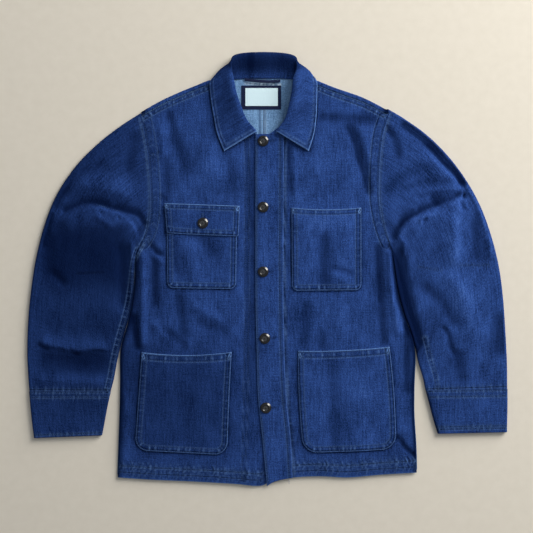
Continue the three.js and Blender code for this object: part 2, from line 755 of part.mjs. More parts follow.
// Collar, section by section from the centre back to the tip of the leaf, for the right side.
// n is the neck seam, r the roll, m the middle and l the free edge of the leaf. a and c are the
// heights of the stand and of the leaf beside the roll, and lean is how much further out the
// left leaf lies. Distances out are from the centre line, heights are of the wall's middle.
const collar = table('nOut nY nZ rOut rY rZ aZ cZ mOut mY mZ lOut lY lZ lean', [
  [0, 352.5, 2.6, 0, 400, 7.5, 13.4, 1.6, 0, 384, 1.0, 0, 361, 1.0, 0],
  [28, 352.5, 2.6, 28, 399, 7.5, 13.4, 1.6, 28, 383, 1.0, 26, 361, 1.0, 0],
  [48, 351.5, 2.8, 48, 396, 8, 14, 1.8, 48, 380, 1.0, 45, 361, 1.0, 1],
  [67, 350, 3.2, 57, 390, 11, 16, 5, 58, 378, 2.4, 60, 361, 1.1, 3],
  [78, 346, 5.0, 58, 379, 17, 17, 14, 72, 373, 6.5, 74, 359, 1.2, 3],
  [84, 338, 7.4, 57, 365, 19.5, 16.5, 20.5, 84, 361, 11.5, 90, 355, 3.0, 3],
  [83, 328, 7.6, 54.5, 352, 19.5, 16, 22.5, 78, 349, 17, 98, 345, 9.6, 1],
  [77, 313.5, 7.6, 51.5, 336, 19.5, 16, 22.5, 76, 332, 16, 97.5, 327, 8.6, 2],
  [67.5, 298, 7.6, 47, 318, 18.5, 15.5, 21, 73, 312, 14.5, 95, 305, 8.2, 4],
  [54, 283, 7.6, 39.5, 298, 16.5, 14, 18.8, 67, 289, 13, 91, 282, 8.2, 7],
  [35, 267.5, 7.8, 30.5, 276, 14, 12, 16, 60, 263, 11.6, 85, 251, 8.2, 9],
  [11, 250.5, 8.2, 12, 254, 10.4, 9.4, 12, 42, 236, 10.6, 72, 218, 8.2, 12],
]);
const ROLL_RADIUS = 6;
const ROLL_SHARE = 0.35; // most of the stand's height that the roll takes up
const COLLAR_STATIONS = 15; // on each side of the centre back
const COLLAR_STEPS = 12; // from neck seam to free edge

function collarGrid() {
  const numbered = collar.map((row, index) => ({ ...row, index }));
  const at = Object.fromEntries(Object.keys(collar[0]).map(
    (name) => [name, through(numbered, 'index', name)],
  ));
  const grid = [];
  for (let station = -COLLAR_STATIONS; station <= COLLAR_STATIONS; station += 1) {
    const sign = station < 0 ? -1 : 1;
    const index = (collar.length - 1) * (Math.abs(station) / COLLAR_STATIONS);
    const lean = sign > 0 ? at.lean(index) : 0;
    const point = (name) => new THREE.Vector3(
      CENTRE_BACK + sign * (at[`${name}Out`](index) + lean),
      at[`${name}Y`](index),
      at[`${name}Z`](index),
    );
    const [seam, roll, middle, edge] = ['n', 'r', 'm', 'l'].map(point);
    const radius = Math.min(ROLL_RADIUS, ROLL_SHARE * seam.distanceTo(roll));
    const beside = (target, height) => {
      const toward = target.clone().sub(roll).setZ(0).normalize();
      return roll.clone().addScaledVector(toward, radius).setZ(height);
    };
    const curve = new THREE.CatmullRomCurve3([
      seam,
      beside(seam, at.aZ(index)),
      roll,
      beside(middle, at.cZ(index)),
      middle,
      edge,
    ]);
    grid.push(curve.getPoints(COLLAR_STEPS));
  }
  return grid;
}
const collarMiddle = collarGrid();
const collarNormals = gridNormals(collarMiddle);
add('collar', shellGeometry(
  moved(collarMiddle, collarNormals, DOUBLE_CLOTH / 2),
  moved(collarMiddle, collarNormals, -DOUBLE_CLOTH / 2),
), COLOUR.denim);

// Inside the neck: a patch, a bare label on it and the hanger loop
function flatPiece(corners, bottom, thickness) {
  const geometry = new THREE.ExtrudeGeometry(roundedOutline(corners), {
    depth: thickness,
    bevelEnabled: false,
    curveSegments: 3,
  });
  geometry.translate(0, 0, bottom);
  return geometry;
}
const box = (left, right, low, high, radius) => table(cornerColumns, [
  [left, high, radius], [right, high, radius], [right, low, radius], [left, low, radius],
]);
const TAPE = 1; // thickness of patch and label
const PATCH_LEVEL = CLOTH + SEAM_GAP;
const LABEL_LEVEL = PATCH_LEVEL + TAPE + SEAM_GAP;
add('neck_patch', flatPiece(box(-48, 25, 296, 340, 2), PATCH_LEVEL, TAPE), COLOUR.patch);
add('neck_label', flatPiece(box(-41, 19, 302, 335, 1), LABEL_LEVEL, TAPE), COLOUR.label);

const LOOP = { from: -42, to: 24, y: 348, sag: 3, width: 5, low: 2.4, rise: 2.4, thickness: 1.2 };
function loopGrid() {
  const steps = 12;
  const grid = [];
  for (let i = 0; i <= steps; i += 1) {
    const t = i / steps;
    const arch = Math.sin(Math.PI * t);
    const x = mix(LOOP.from, LOOP.to, t);
    const y = LOOP.y - LOOP.sag * arch;
    const z = LOOP.low + LOOP.rise * arch;
    grid.push([-0.5, 0.5].map((side) => new THREE.Vector3(x, y + side * LOOP.width, z)));
  }
  return grid;
}
const loop = loopGrid();
add('hanger_loop', shellGeometry(
  raised(loop, LOOP.thickness / 2),
  raised(loop, -LOOP.thickness / 2),
), COLOUR.patch);

// Buttons: turned discs with a raised rim and a sunken middle
const BUTTON_PROFILE = table('radius height', [
  [0, 0], [8.6, 0], [10, 1.2], [9.2, 2.4], [7, 3.5], [5.6, 2.2], [4.4, 1.7], [0, 1.9],
]);
const BUTTONS = table('x y', [[-8, 237], [-8, 115], [-8, -4], [-5, -127], [-3, -255]]);
const FLAP_BUTTON = { x: -119, y: 85.5 };
const BUTTON_SIDES = 12;
const BUTTON_FOOT = BUTTON_PROFILE[1].radius;
const ABOVE_ALL = 100; // a height above every piece

// Height of a panel's upper face at (x, y).
function panelTop(mesh, x, y) {
  const ray = new THREE.Raycaster(new THREE.Vector3(x, y, ABOVE_ALL), new THREE.Vector3(0, 0, -1));
  return ray.intersectObject(mesh)[0].point.z;
}
function addButton(name, place, carrier) {
  // The button rests on the highest point of the cloth under its rim.
  let top = 0;
  for (let i = 0; i < BUTTON_SIDES; i += 1) {
    const angle = (2 * Math.PI * i) / BUTTON_SIDES;
    const x = place.x + BUTTON_FOOT * Math.cos(angle);
    const y = place.y + BUTTON_FOOT * Math.sin(angle);
    top = Math.max(top, panelTop(carrier, x, y));
  }
  const profile = BUTTON_PROFILE.map(({ radius, height }) => new THREE.Vector2(radius, height));
  const disc = new THREE.LatheGeometry(profile, BUTTON_SIDES);
  disc.deleteAttribute('normal');
  disc.deleteAttribute('uv');
  const mesh = add(name, mergeVertices(disc), COLOUR.button, 0.25);
  mesh.rotation.x = Math.PI / 2;
  mesh.position.set(place.x, place.y, top + SEAM_GAP);
}
const named = (name) => jacket.getObjectByName(name);
jacket.updateMatrixWorld(true);
BUTTONS.forEach((place, i) => addButton(`front_button_${i + 1}`, place, named('front_placket')));
addButton('flap_button', FLAP_BUTTON, named('chest_pocket_flap'));

export default jacket;
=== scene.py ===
import math
import bpy
import numpy as np
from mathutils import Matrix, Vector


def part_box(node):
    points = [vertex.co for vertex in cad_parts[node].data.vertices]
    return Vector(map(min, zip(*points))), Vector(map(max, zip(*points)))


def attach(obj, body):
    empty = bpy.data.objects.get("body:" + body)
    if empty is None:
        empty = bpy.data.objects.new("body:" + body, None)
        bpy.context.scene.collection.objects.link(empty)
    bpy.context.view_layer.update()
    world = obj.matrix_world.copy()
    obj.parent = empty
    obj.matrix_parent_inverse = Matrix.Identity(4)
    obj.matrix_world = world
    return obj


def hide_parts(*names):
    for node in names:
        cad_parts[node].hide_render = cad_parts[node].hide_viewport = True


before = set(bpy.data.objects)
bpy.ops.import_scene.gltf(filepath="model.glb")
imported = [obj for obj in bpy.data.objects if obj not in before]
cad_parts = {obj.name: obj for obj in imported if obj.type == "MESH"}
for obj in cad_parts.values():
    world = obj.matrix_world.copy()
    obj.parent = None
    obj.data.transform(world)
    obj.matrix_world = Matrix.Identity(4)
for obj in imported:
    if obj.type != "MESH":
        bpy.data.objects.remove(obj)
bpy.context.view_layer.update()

MM = 0.001
SCENE = bpy.context.scene

# Camera: straight above, the field of view as wide as the photograph
FIELD = 986.0
CAMERA_HEIGHT = 1900.0
CAMERA_AT = (-1.85, 5.55)
SENSOR = 36.0


def make_camera():
    """A camera looking straight down, whose field at the surface is FIELD wide."""
    data = bpy.data.cameras.new("camera")
    data.sensor_width = SENSOR
    data.lens = SENSOR * CAMERA_HEIGHT / FIELD
    data.clip_end = 20
    camera = bpy.data.objects.new("camera", data)
    camera.location = (CAMERA_AT[0] * MM, CAMERA_AT[1] * MM, CAMERA_HEIGHT * MM)
    SCENE.collection.objects.link(camera)
    SCENE.camera = camera


make_camera()

# Cloth, as in the solids: one wall, the wall of two layers sewn together, the air between pieces
# that touch, and how far one wall lies above the next
CLOTH = 1.2
DOUBLE_CLOTH = 1.8
SEAM_GAP = 0.3
LAYER = CLOTH + SEAM_GAP
# Levels of upper faces: the body, the right front below the left one, the left front over it,
# the lowest that folds may press the cloth, the sleeves and the cuffs
LOFT = 6.0
UNDER_FRONT = 3.2
OVER_FRONT = 4.8
LOWEST_TOP = 3.4
SLEEVE_LOFT = 6.2
CUFF_LOFT = 6.8
# Landmarks
CENTRE_BACK = -8.0
ARMPIT_Y = 36.0
SHOULDER_TIP_Y = 288.0
FRONT_NECK_Y = 250.0
NECK_CORNER = 85.5
# How far the fronts overlap, the width of the roll at the side, how far up the hem holds the
# fronts down, the radius of the turn over the shoulder and the flat strip after it, how far the
# shoulder seam lies below the shoulder line, and the depth of the hem
OVERLAP = 38.0
SIDE_ROLL = 9.0
HEM_REACH = 55.0
SHOULDER_ROLL = 2.6
SHOULDER_TURN = 5.0
SHOULDER_SEAM_DROP = 9.5
HEM_DEPTH = 22.0


def table(names, rows):
    """Short tables, listed row by row: one array for each named column."""
    return dict(zip(names.split(), np.array(rows, float).T))


def mix(a, b, t):
    """a where t is 0, b where it is 1."""
    return a + (b - a) * t


def smooth(value):
    """0 below 0, 1 above 1, and 3t^2 - 2t^3 between."""
    t = np.clip(value, 0, 1)
    return t * t * (3 - 2 * t)


def rounded(distance, reach):
    """A quarter ellipse: 0 at an edge, 1 from reach inwards, upright at the edge."""
    return np.sqrt(1 - (1 - np.clip(distance / reach, 0, 1)) ** 2)


def bell(distance, width):
    """exp(-(d/w)^2)."""
    return np.exp(-((distance / width) ** 2))


def through(rows, source, target):
    """One column as a smooth function of another: cubic pieces whose slope at each row is the
    slope between its neighbours."""
    xs, ys = rows[source], rows[target]
    before = np.maximum(np.arange(len(xs)) - 1, 0)
    after = np.minimum(np.arange(len(xs)) + 1, len(xs) - 1)
    slope = (ys[after] - ys[before]) / (xs[after] - xs[before])

    def curve(value):
        x = np.clip(value, xs[0], xs[-1])
        i = np.clip(np.searchsorted(xs, x, side="right") - 1, 0, len(xs) - 2)
        width = xs[i + 1] - xs[i]
        t = (x - xs[i]) / width
        rise = (2 * t - 3) * t * t
        bend = width * t * (1 - t) * (slope[i] * (1 - t) - slope[i + 1] * t)
        return ys[i] * (1 + rise) - ys[i + 1] * rise + bend

    return curve


def by_row(rows):
    """Each column of a table as a smooth function of the row's number, and the last number."""
    count = len(next(iter(rows.values())))
    numbered = dict(rows, index=np.arange(count, dtype=float))
    return {key: through(numbered, "index", key) for key in rows}, count - 1.0


def running(steps, axis=0):
    """The sum of the steps up to each point, from 0 at the first."""
    sums = np.cumsum(steps, axis)
    return np.concatenate([0 * np.take(sums, [0], axis), sums], axis)


def lengths_along(path):
    """The length along a path up to each of its points."""
    return running(np.linalg.norm(np.diff(path, axis=0), axis=1))


def on_path(path, at):
    """Points of a path at the given lengths along it."""
    return np.column_stack([np.interp(at, lengths_along(path), column) for column in path.T])


# Outline of the body as it lies
side_seam = table("y right left", [
    [-386, -277, 276],
    [-325, -275, 274.5],
    [-269, -273, 271],
    [-222, -272, 271],
    [-193, -271.8, 272],
    [-169, -272, 273],
    [-148, -271, 272],
    [-127, -266, 268.5],
    [-114, -262, 263.7],
    [-98, -257.3, 257],
    [-66, -250.8, 246.5],
    [-29, -245.8, 238.5],
    [8, -243.8, 233.5],
    [ARMPIT_Y, -242.5, 231],
])
armhole = table("y right left", [
    [ARMPIT_Y, -242.5, 231],
    [60, -226, 220],
    [90, -217, 211],
    [125, -214, 205],
    [165, -215, 204],
    [210, -218.5, 206],
    [250, -224.5, 211],
    [SHOULDER_TIP_Y, -233.5, 223],
])
front_edge = table("y x", [
    [-400, -1],
    [-306, -10],
    [-241, -17],
    [-167, -19.5],
    [-56, -22],
    [FRONT_NECK_Y, -22],
])
placket_width = table("y width", [
    [-400, 48],
    [-306, 52],
    [-140, 51],
    [FRONT_NECK_Y, 52],
])
right_hem = table("x y", [
    [-277, -384],
    [-217, -388],
    [-147, -391],
    [-58, -396],
    [-12, -399.5],
    [6, -391],
    [40, -381],
])
left_hem = table("x y", [
    [-1, -399],
    [12, -392],
    [31, -387],
    [60, -383],
    [101, -382],
    [149, -384],
    [208, -379],
    [276, -375],
])
back_hem = table("x y", [
    [-277, -379],
    [-147, -385],
    [0, -385],
    [101, -377],
    [276, -370],
])
shoulder = table("out right left", [
    [80, 352, 353],
    [98, 350, 349.5],
    [125, 339.5, 338.5],
    [152, 328.5, 329],
    [178, 317, 320],
    [202, 304.5, 309],
    [226, 290.5, 296],
])
neckline = table("out y", [
    [12, 250],
    [19, 255.5],
    [37, 268],
    [56, 284],
    [69, 299],
    [78, 314],
    [84, 328],
    [85.5, 340.5],
])
back_neckline = table("out y", [
    [0, 354],
    [48, 353.5],
    [68, 352],
    [82, 347],
    [92, 343],
])

# Folds: soft ridges and troughs along arcs from (x1, y1) to (x2, y2). bow is how far the arc
# swings to the left of its chord, left and right its half widths on either side, rise its height.
FOLD = "x1 y1 x2 y2 bow left right rise"
folds = {
    "right": table(FOLD, [
        [-184, 292, -174, 244, 2, 7, 8, -2.2],
        [-174, 244, -152, 178, 2, 11, 12, -2.2],
        [-188, 214, -187, 134, 0, 8, 10, -1.7],
        [-199, 137, -185, 126, 0, 5, 6, -1.9],
        [-196, 262, -190, 205, 0, 6, 8, 1.9],
        [-70, 200, -62, 132, 0, 10, 12, -1.2],
        [-120, 240, -96, 160, 0, 22, 20, 3],
        [-217, 47, -194, 27, -2, 4, 5, -3.6],
        [-214, 35, -192, 13, -2, 5, 7, 2.7],
        [-230, 30, -230, -140, 0, 7, 8, 4.4],
        [-209, 36, -208, -70, 0, 8, 8, -3.2],
        [-247, -84, -238, -148, 0, 6, 8, -4.4],
        [-166, -46, -154, -126, 0, 10, 10, -2.7],
        [-198, -110, -150, -146, 4, 8, 9, -2.2],
        [-216, -92, -186, -128, 0, 8, 8, 2.2],
        [-140, -62, -84, -92, -4, 9, 9, 2.2],
        [-132, -96, -76, -114, 0, 8, 9, -1.6],
        [-136, -172, -138, -250, 0, 10, 10, -0.9],
        [-152, -240, -152, -320, 0, 9, 9, -0.8],
        [-148, 48, -132, -24, 0, 14, 12, 2.4],
        [-124, 62, -96, 18, 2, 12, 12, -1.5],
        [-172, 56, -170, -10, 0, 8, 8, -1.6],
        [-262, -230, -262, -360, 0, 9, 9, 1.9],
    ]),
    "left": table(FOLD, [
        [92, 280, 200, 276, 0, 9, 10, -2.4],
        [146, 266, 168, 205, 4, 9, 7, -3.8],
        [168, 205, 186, 138, 2, 9, 6, -3.6],
        [172, 264, 192, 190, 0, 8, 8, 2.4],
        [38, 228, 44, 134, 0, 5, 5, -3.2],
        [50, 215, 49, 125, 0, 6, 8, 1.9],
        [104, 68, 104, -34, 0, 12, 12, -2.7],
        [116, 4, 156, -9, 2, 5, 7, -1.5],
        [120, -8, 148, -24, 0, 6, 7, 1.1],
        [142, 90, 146, 20, 0, 14, 14, 1.9],
        [204, 44, 209, -60, 0, 7, 8, -3.9],
        [209, -60, 214, -140, 0, 8, 8, -2.7],
        [225, 36, 230, -60, 0, 6, 7, 4.2],
        [232, -60, 242, -120, 0, 8, 8, 3.4],
        [255, -100, 256, -230, 0, 8, 7, -3],
        [239, -306, 253, -328, 0, 4, 5, -3.6],
        [253, -328, 273, -345, 0, 4, 5, -3.6],
        [118, -170, 122, -340, 0, 16, 9, -1.7],
        [98, -112, 98, -150, 0, 10, 10, -1.6],
        [135, -60, 140, -140, 0, 14, 14, 1.9],
        [70, -60, 66, -140, 0, 10, 10, -1.9],
    ]),
    "right_sleeve": table(FOLD, [
        [-300, 200, -355, -60, 0, 70, 60, 2.5],
        [-352, 154, -252, 136, 6, 26, 14, 5.9],
        [-296, 190, -338, 184, -3, 10, 12, -2.4],
        [-334, 186, -376, 140, -6, 9, 12, -2.9],
        [-374, 146, -394, 112, -2, 7, 9, -2.4],
        [-378, 106, -334, 124, 2, 8, 4, -4.6],
        [-334, 124, -290, 112, 3, 9, 4, -5.4],
        [-290, 112, -236, 100, 2, 9, 4, -5.0],
        [-236, 100, -226, 80, 0, 6, 5, -3.6],
        [-376, 88, -336, 108, 2, 4.5, 24, 5.4],
        [-336, 108, -306, 111, 2, 4.5, 28, 6.0],
        [-306, 111, -262, 95, 2, 4.5, 28, 5.6],
        [-262, 92, -243, 58, 6, 4.5, 20, 5.0],
        [-306, 109, -307, 101, 0, 3, 3, -2.4],
        [-273, 99, -274, 91, 0, 3, 3, -2.4],
        [-318, 100, -284, 78, 0, 7, 7, 2.2],
        [-398, 104, -412, 40, -2, 5, 6, -3.0],
        [-404, 66, -406, -12, 0, 12, 12, -2.4],
        [-400, -4, -374, -28, 0, 9, 7, -2.6],
        [-272, 46, -264, -70, 0, 14, 10, -3.2],
        [-250, 50, -250, -40, 0, 5, 5, 2.2],
        [-420, -133, -382, -142, -2, 18, 4, 4.6],
        [-382, -142, -340, -149, -2, 18, 4, 4.9],
        [-340, -149, -296, -147, 3, 18, 4, 4.6],
        [-418, -160, -356, -166, -2, 11, 20, -2.4],
        [-356, -167, -298, -171, 2, 13, 22, -3.0],
        [-424, -138, -404, -147, 0, 4, 4, -2.2],
        [-366, -147, -348, -158, 0, 4, 4, -2.6],
        [-425, -202, -300, -208, 0, 12, 10, 2.4],
        [-242, 250, -256, 170, -3, 11, 14, -2.2],
    ]),
    "left_sleeve": table(FOLD, [
        [300, 200, 370, -100, 0, 60, 60, 2.5],
        [246, 268, 292, 233, 1, 9, 6, -3.6],
        [292, 233, 324, 198, 1, 9, 6, -5.8],
        [324, 198, 363, 154, 2, 9, 6, -6.6],
        [286, 210, 352, 150, 4, 6, 20, 4.2],
        [220, 263, 232, 246, 0, 5, 6, -3.9],
        [232, 246, 242, 206, 2, 8, 9, -3.0],
        [212, 138, 295, 184, 10, 12, 12, -2.4],
        [244, 145, 360, 158, 8, 7, 8, -2.2],
        [279, 140, 380, 138, 8, 3, 4, 1.6],
        [298, 138, 318, 124, 0, 10, 8, -4.2],
        [322, 123, 357, 141, -2, 9, 4, -5.4],
        [276, 104, 322, 121, 2, 10, 4, -5.8],
        [245, 80, 276, 103, 3, 10, 4, -5.8],
        [235, 54, 246, 82, 2, 9, 4, -4.4],
        [236, 48, 262, 84, 3, 4.5, 18, 4.8],
        [262, 84, 300, 97, 3, 4.5, 24, 5.6],
        [300, 97, 336, 118, -2, 4.5, 26, 6.2],
        [336, 118, 358, 130, 0, 4.5, 22, 5.2],
        [360, 136, 364, 135, 0, 5.5, 5.5, -7.0],
        [304, 101, 280, 86, -6, 2.5, 3, 2.4],
        [292, 93, 285, 88, 0, 3.5, 3.5, -3.4],
        [355, 126, 361, 108, 0, 4, 4, -3.9],
        [342, 96, 342, 10, 0, 13, 13, 3.9],
        [380, 92, 385, 12, 0, 14, 12, -3.4],
        [369, 155, 394, 108, 5, 4, 8, 3.9],
        [394, 108, 411, 24, 5, 4, 8, 3.9],
        [394, 118, 407, 60, 2, 4, 4, -3.4],
        [242, 60, 252, 48, 0, 3, 3, 1.6],
        [253, 50, 252, 24, 0, 3, 3, 1.6],
        [331, -10, 362, -60, 4, 16, 16, 3.9],
        [364, -60, 386, -128, 0, 18, 20, 3.9],
        [284, -26, 322, -60, 0, 12, 12, -3.4],
        [322, -60, 350, -106, 0, 12, 12, -3.4],
        [322, -105, 336, -125, 2, 4, 6, -3.2],
        [336, -125, 347, -156, -3, 4, 6, -3.0],
        [351, -150, 358, -210, 0, 11, 11, -2.6],
        [424, -80, 426, -158, 0, 12, 14, -2.8],
        [242, 40, 262, -60, 0, 8, 12, -3.9],
        [262, -60, 282, -140, 0, 8, 12, -3.9],
    ]),
}
# Painted shade for each millimetre of a shallow trough, and the deepest there is; the lightening for
# each millimetre of a ridge, partly rub and partly painted light, and the most of it
TROUGH_SHADE = 0.165
DEEPEST_SHADE = 1.0
RIDGE_SHADE = 0.035
RUBBED_AND_LIT_MOST = 0.18


def fold_shade(height):
    """Painted shade in troughs, by m * (1 - exp(s * height / m)) where m is the deepest and
    s the slope in shallow ones; ridges are a little lighter, partly rubbed and partly painted light."""
    depth = TROUGH_SHADE * np.minimum(height, 0) / DEEPEST_SHADE
    return DEEPEST_SHADE * (np.exp(depth) - 1) + np.clip(RIDGE_SHADE * height, 0, RUBBED_AND_LIT_MOST)


def fold_height(rows, x, y):
    """Sum over the folds of rise * bell(distance from the arc / half width of that side), which
    fades at either end so that folds laid end to end run into each other."""
    height = np.zeros_like(x)
    for x1, y1, x2, y2, bow, left, right, rise in zip(*rows.values()):
        length = math.hypot(x2 - x1, y2 - y1)
        ux, uy = (x2 - x1) / length, (y2 - y1) / length
        along = (x - x1) * ux + (y - y1) * uy
        t = np.clip(along / length, 0, 1)
        across = (y - y1) * ux - (x - x1) * uy - 4 * bow * t * (1 - t)
        reach = min(left + right, length)
        ends = smooth(0.5 + along / reach) * smooth(0.5 + (length - along) / reach)
        height += rise * ends * bell(across, np.where(across > 0, left, right))
    return height


def path_distance(x, y, path):
    """Distance of each point from a path of points, the length along it to the nearest one, and
    how level the path is there, from 0 upright to 1 level."""
    nearest = np.full(x.shape, np.inf)
    arc = np.zeros(x.shape)
    level = np.zeros(x.shape)
    steps = np.hypot(*np.diff(path, axis=0).T)
    starts = running(steps)
    for i, step in enumerate(steps):
        (ax, ay), (bx, by) = path[i], path[i + 1]
        t = np.clip(((x - ax) * (bx - ax) + (y - ay) * (by - ay)) / step ** 2, 0, 1)
        distance = np.hypot(x - ax - t * (bx - ax), y - ay - t * (by - ay))
        closer = distance < nearest
        nearest = np.where(closer, distance, nearest)
        arc = np.where(closer, starts[i] + t * step, arc)
        level = np.where(closer, abs(bx - ax) / step, level)
    return nearest, arc, level


def ripple(arc, seed):
    """Puckers along a seam: three sines of about 6, 8.5 and 14 mm whose phases drift."""
    drift = 1.4 * np.sin(arc / 31 + seed) + 0.9 * np.sin(arc / 12.7 + 2.3 * seed)
    fast = np.sin(arc * (2 * np.pi / 6.1) + drift + seed)
    middle = np.sin(arc * (2 * np.pi / 8.6) - 1.3 * drift + 1.7 * seed)
    slow = np.sin(arc * (2 * np.pi / 14.3) + drift + 0.6 * seed)
    return 0.35 * fast + 0.4 * middle + 0.3 * slow


# Puckers of upright seams beside level ones; half width of a stitch row's groove and of the
# rubbed line beside it, and the distance between the two; how much painted shade a row's groove and its
# seam get
UPRIGHT_PUCKER = 0.35
ROW_WIDE = 1.1
RUBBED_WIDE = 0.9
RUBBED_AWAY = 1.7
ROW_SHADE = 0.40
SEAM_SHADE = 0.14


class Seams:
    """Seams of one panel. Each presses a stitch groove along its path, or one on each side of
    it, and puckers the cloth over its reach."""

    def __init__(self):
        self.rows = []

    def add(self, path, groove=0.5, pucker=0.5, reach=4.0, slant=0.0, wear=0.6, spread=0.0):
        """groove is the depth of the stitch rows, pucker the height of the waves and reach their
        half width, slant how much they lean, spread the rows' distance from the path."""
        self.rows.append((np.asarray(path, float), groove, pucker, reach, slant, wear, spread))

    def relief(self, x, y):
        """Height, wear and painted shade at each point. The puckers are the ripple along the path times
        bell(d / reach), weak where the path runs upright, since the warp is stiffer; their
        crests wear light. Each stitch row is a narrow bell of painted shade at distance spread, with a
        rubbed line just outside it, and the seam's whole reach gets a little painted shade too."""
        height, wear, shade = np.zeros_like(x), np.zeros_like(x), np.zeros_like(x)
        for seed, (path, groove, pucker, reach, slant, worn, spread) in enumerate(self.rows):
            margin = 3 * reach + spread
            low, high = path.min(0) - margin, path.max(0) + margin
            near = (x > low[0]) & (x < high[0]) & (y > low[1]) & (y < high[1])
            if not near.any():
                continue
            distance, arc, level = path_distance(x[near], y[near], path)
            waves = ripple(arc + slant * distance, seed + 1.0)
            strength = mix(UPRIGHT_PUCKER, 1, level)
            over = bell(distance, reach)
            row = bell(distance - spread, ROW_WIDE)
            height[near] += pucker * waves * over * strength - groove * row
            crest = worn * np.clip(waves * 1.3 - 0.1, 0, 1) * over * strength
            line_beside = bell(distance - spread - RUBBED_AWAY, RUBBED_WIDE)
            rubbed = 0.8 * worn * line_beside * (0.6 + 0.4 * waves)
            wear[near] = np.maximum(wear[near], np.maximum(crest, rubbed))
            shade[near] -= ROW_SHADE * row + SEAM_SHADE * over
        return height, wear, shade


class Half:
    """One half of the body: its side line, shoulder, hem, and the direction of its side."""

    def __init__(self, name, sign, hem):
        self.name, self.sign = name, sign
        self.below = through(side_seam, "y", name)
        self.armhole = through(armhole, "y", name)
        self.shoulder = through(shoulder, "out", name)
        self.hem = through(hem, "x", "y")

    def side(self, y):
        """x of the side seam below the armpit and of the armhole above it."""
        return np.where(y < ARMPIT_Y, self.below(y), self.armhole(y))


RIGHT = Half("right", -1, right_hem)
LEFT = Half("left", 1, left_hem)
HALVES = (RIGHT, LEFT)
front_edge_at = through(front_edge, "y", "x")
placket_width_at = through(placket_width, "y", "width")
neckline_at = through(neckline, "out", "y")
back_neckline_at = through(back_neckline, "out", "y")
back_hem_at = through(back_hem, "x", "y")


def line(points, step=4.0):
    """A path through a few (x, y) points, straight between them, with a point about every step."""
    points = np.asarray(points, float)
    total = lengths_along(points)[-1]
    return on_path(points, np.linspace(0, total, max(2, int(total / step))))


def beside(path, distance):
    """The path moved to its left by distance."""
    tangent = np.gradient(path, axis=0)
    tangent /= np.linalg.norm(tangent, axis=1)[:, None]
    return path + distance * np.column_stack([-tangent[:, 1], tangent[:, 0]])


# Pockets: corners in order top left, top right, bottom right, bottom left, how far the middle
# of each edge bows outwards, and the radius of the bottom corners.
pockets = {
    "chest_pocket_right": dict(half=RIGHT, corners=[(-186, 108), (-56, 104), (-58, -36), (-185, -34)],
                               bows=(0, 0, 0, 0), radius=12),
    "chest_pocket_left": dict(half=LEFT, corners=[(44, 114), (173, 114), (173, -38), (45, -39)],
                              bows=(-3.5, 0, 0, 0), radius=11),
    "hip_pocket_right": dict(half=RIGHT, corners=[(-232, -152), (-66, -152), (-74, -342), (-245, -333)],
                             bows=(-6, -1, 0, 0), radius=24),
    "hip_pocket_left": dict(half=LEFT, corners=[(56, -150), (225, -142), (237, -330), (66, -337)],
                            bows=(-3, 3, 2, 3), radius=25),
}
flap = dict(half=RIGHT, corners=[(-190, 122), (-51, 117), (-53, 61), (-185.5, 67)],
            bows=(0, 0, 0.5, 0), radius=4)


def pocket_place(pocket, s, t):
    """(x, y) at share s from left to right and t from bottom to top: between the four corners,
    with bowed edges, and narrowed at the bottom by its corner arcs."""
    tl, tr, br, bl = (np.array(corner, float) for corner in pocket["corners"])
    top_bow, right_bow, bottom_bow, left_bow = pocket["bows"]
    width, height = np.linalg.norm(br - bl), np.linalg.norm(tl - bl)
    radius = pocket["radius"]
    rise = t * height
    inset = radius - np.sqrt(np.maximum(radius ** 2 - np.maximum(radius - rise, 0) ** 2, 0))
    s = mix(inset / width, 1 - inset / width, s)
    x = mix(mix(bl[0], br[0], s), mix(tl[0], tr[0], s), t)
    y = mix(mix(bl[1], br[1], s), mix(tl[1], tr[1], s), t)
    y = y + 4 * s * (1 - s) * (top_bow * t ** 3 - bottom_bow * (1 - t) ** 3)
    x = x + 4 * t * (1 - t) * (right_bow * s ** 2 - left_bow * (1 - s) ** 2)
    return x, y


SAME_PLACE = 0.05


def pocket_outline(pocket):
    """Path down the left side, along the bottom and up the right side, without points that fall
    on the one before."""
    fall = np.linspace(0, 1, 60) ** 1.5
    run = np.linspace(0, 1, 30)
    s = np.concatenate([np.zeros(60), run, np.ones(60)])
    t = np.concatenate([fall[::-1], 0 * run, fall])
    path = np.column_stack(pocket_place(pocket, s, t))
    moved = np.hypot(*np.diff(path, axis=0).T) > SAME_PLACE
    return path[np.concatenate([[True], moved])]


def top_hem_path(pocket, below, shares):
    """Path across a pocket, below its upper edge, at shares from left to right."""
    height = abs(pocket["corners"][0][1] - pocket["corners"][3][1])
    return np.column_stack(pocket_place(pocket, shares, np.full_like(shares, 1 - below / height)))


def height_path(half, offset, low, high):
    """Path up a half's side line, moved inwards by offset."""
    y = np.arange(low, high, 4.0)
    return np.column_stack([half.side(y) - half.sign * offset, y])


def hem_path(half, offset, start, end):
    """Path across a front, above its hem by offset."""
    x = np.arange(start, end, 4.0)
    return np.column_stack([x, half.hem(x) + offset])


def shoulder_path(half, offset):
    """Path from collar to armhole, below the shoulder seam by offset."""
    out = np.arange(90, 226, 4.0)
    x = CENTRE_BACK + half.sign * out
    return np.column_stack([x, half.shoulder(out) - SHOULDER_SEAM_DROP - offset])


# The inner edge of the right front's facing, stitched through
FACING_ROW = line([(-41, 246), (-41, -56), (-42, -167), (-45, -302), (-47, -388)])


PLACKET_LOW = -396.0
PLACKET_Y = np.arange(PLACKET_LOW, 248.0, 4.0)
EDGE_ROW = np.column_stack([front_edge_at(PLACKET_Y) + 2.0, PLACKET_Y])


def placket_path(offset):
    """Path beside the placket's inner edge, offset towards the front edge."""
    return np.column_stack([front_edge_at(PLACKET_Y) + placket_width_at(PLACKET_Y) - offset, PLACKET_Y])


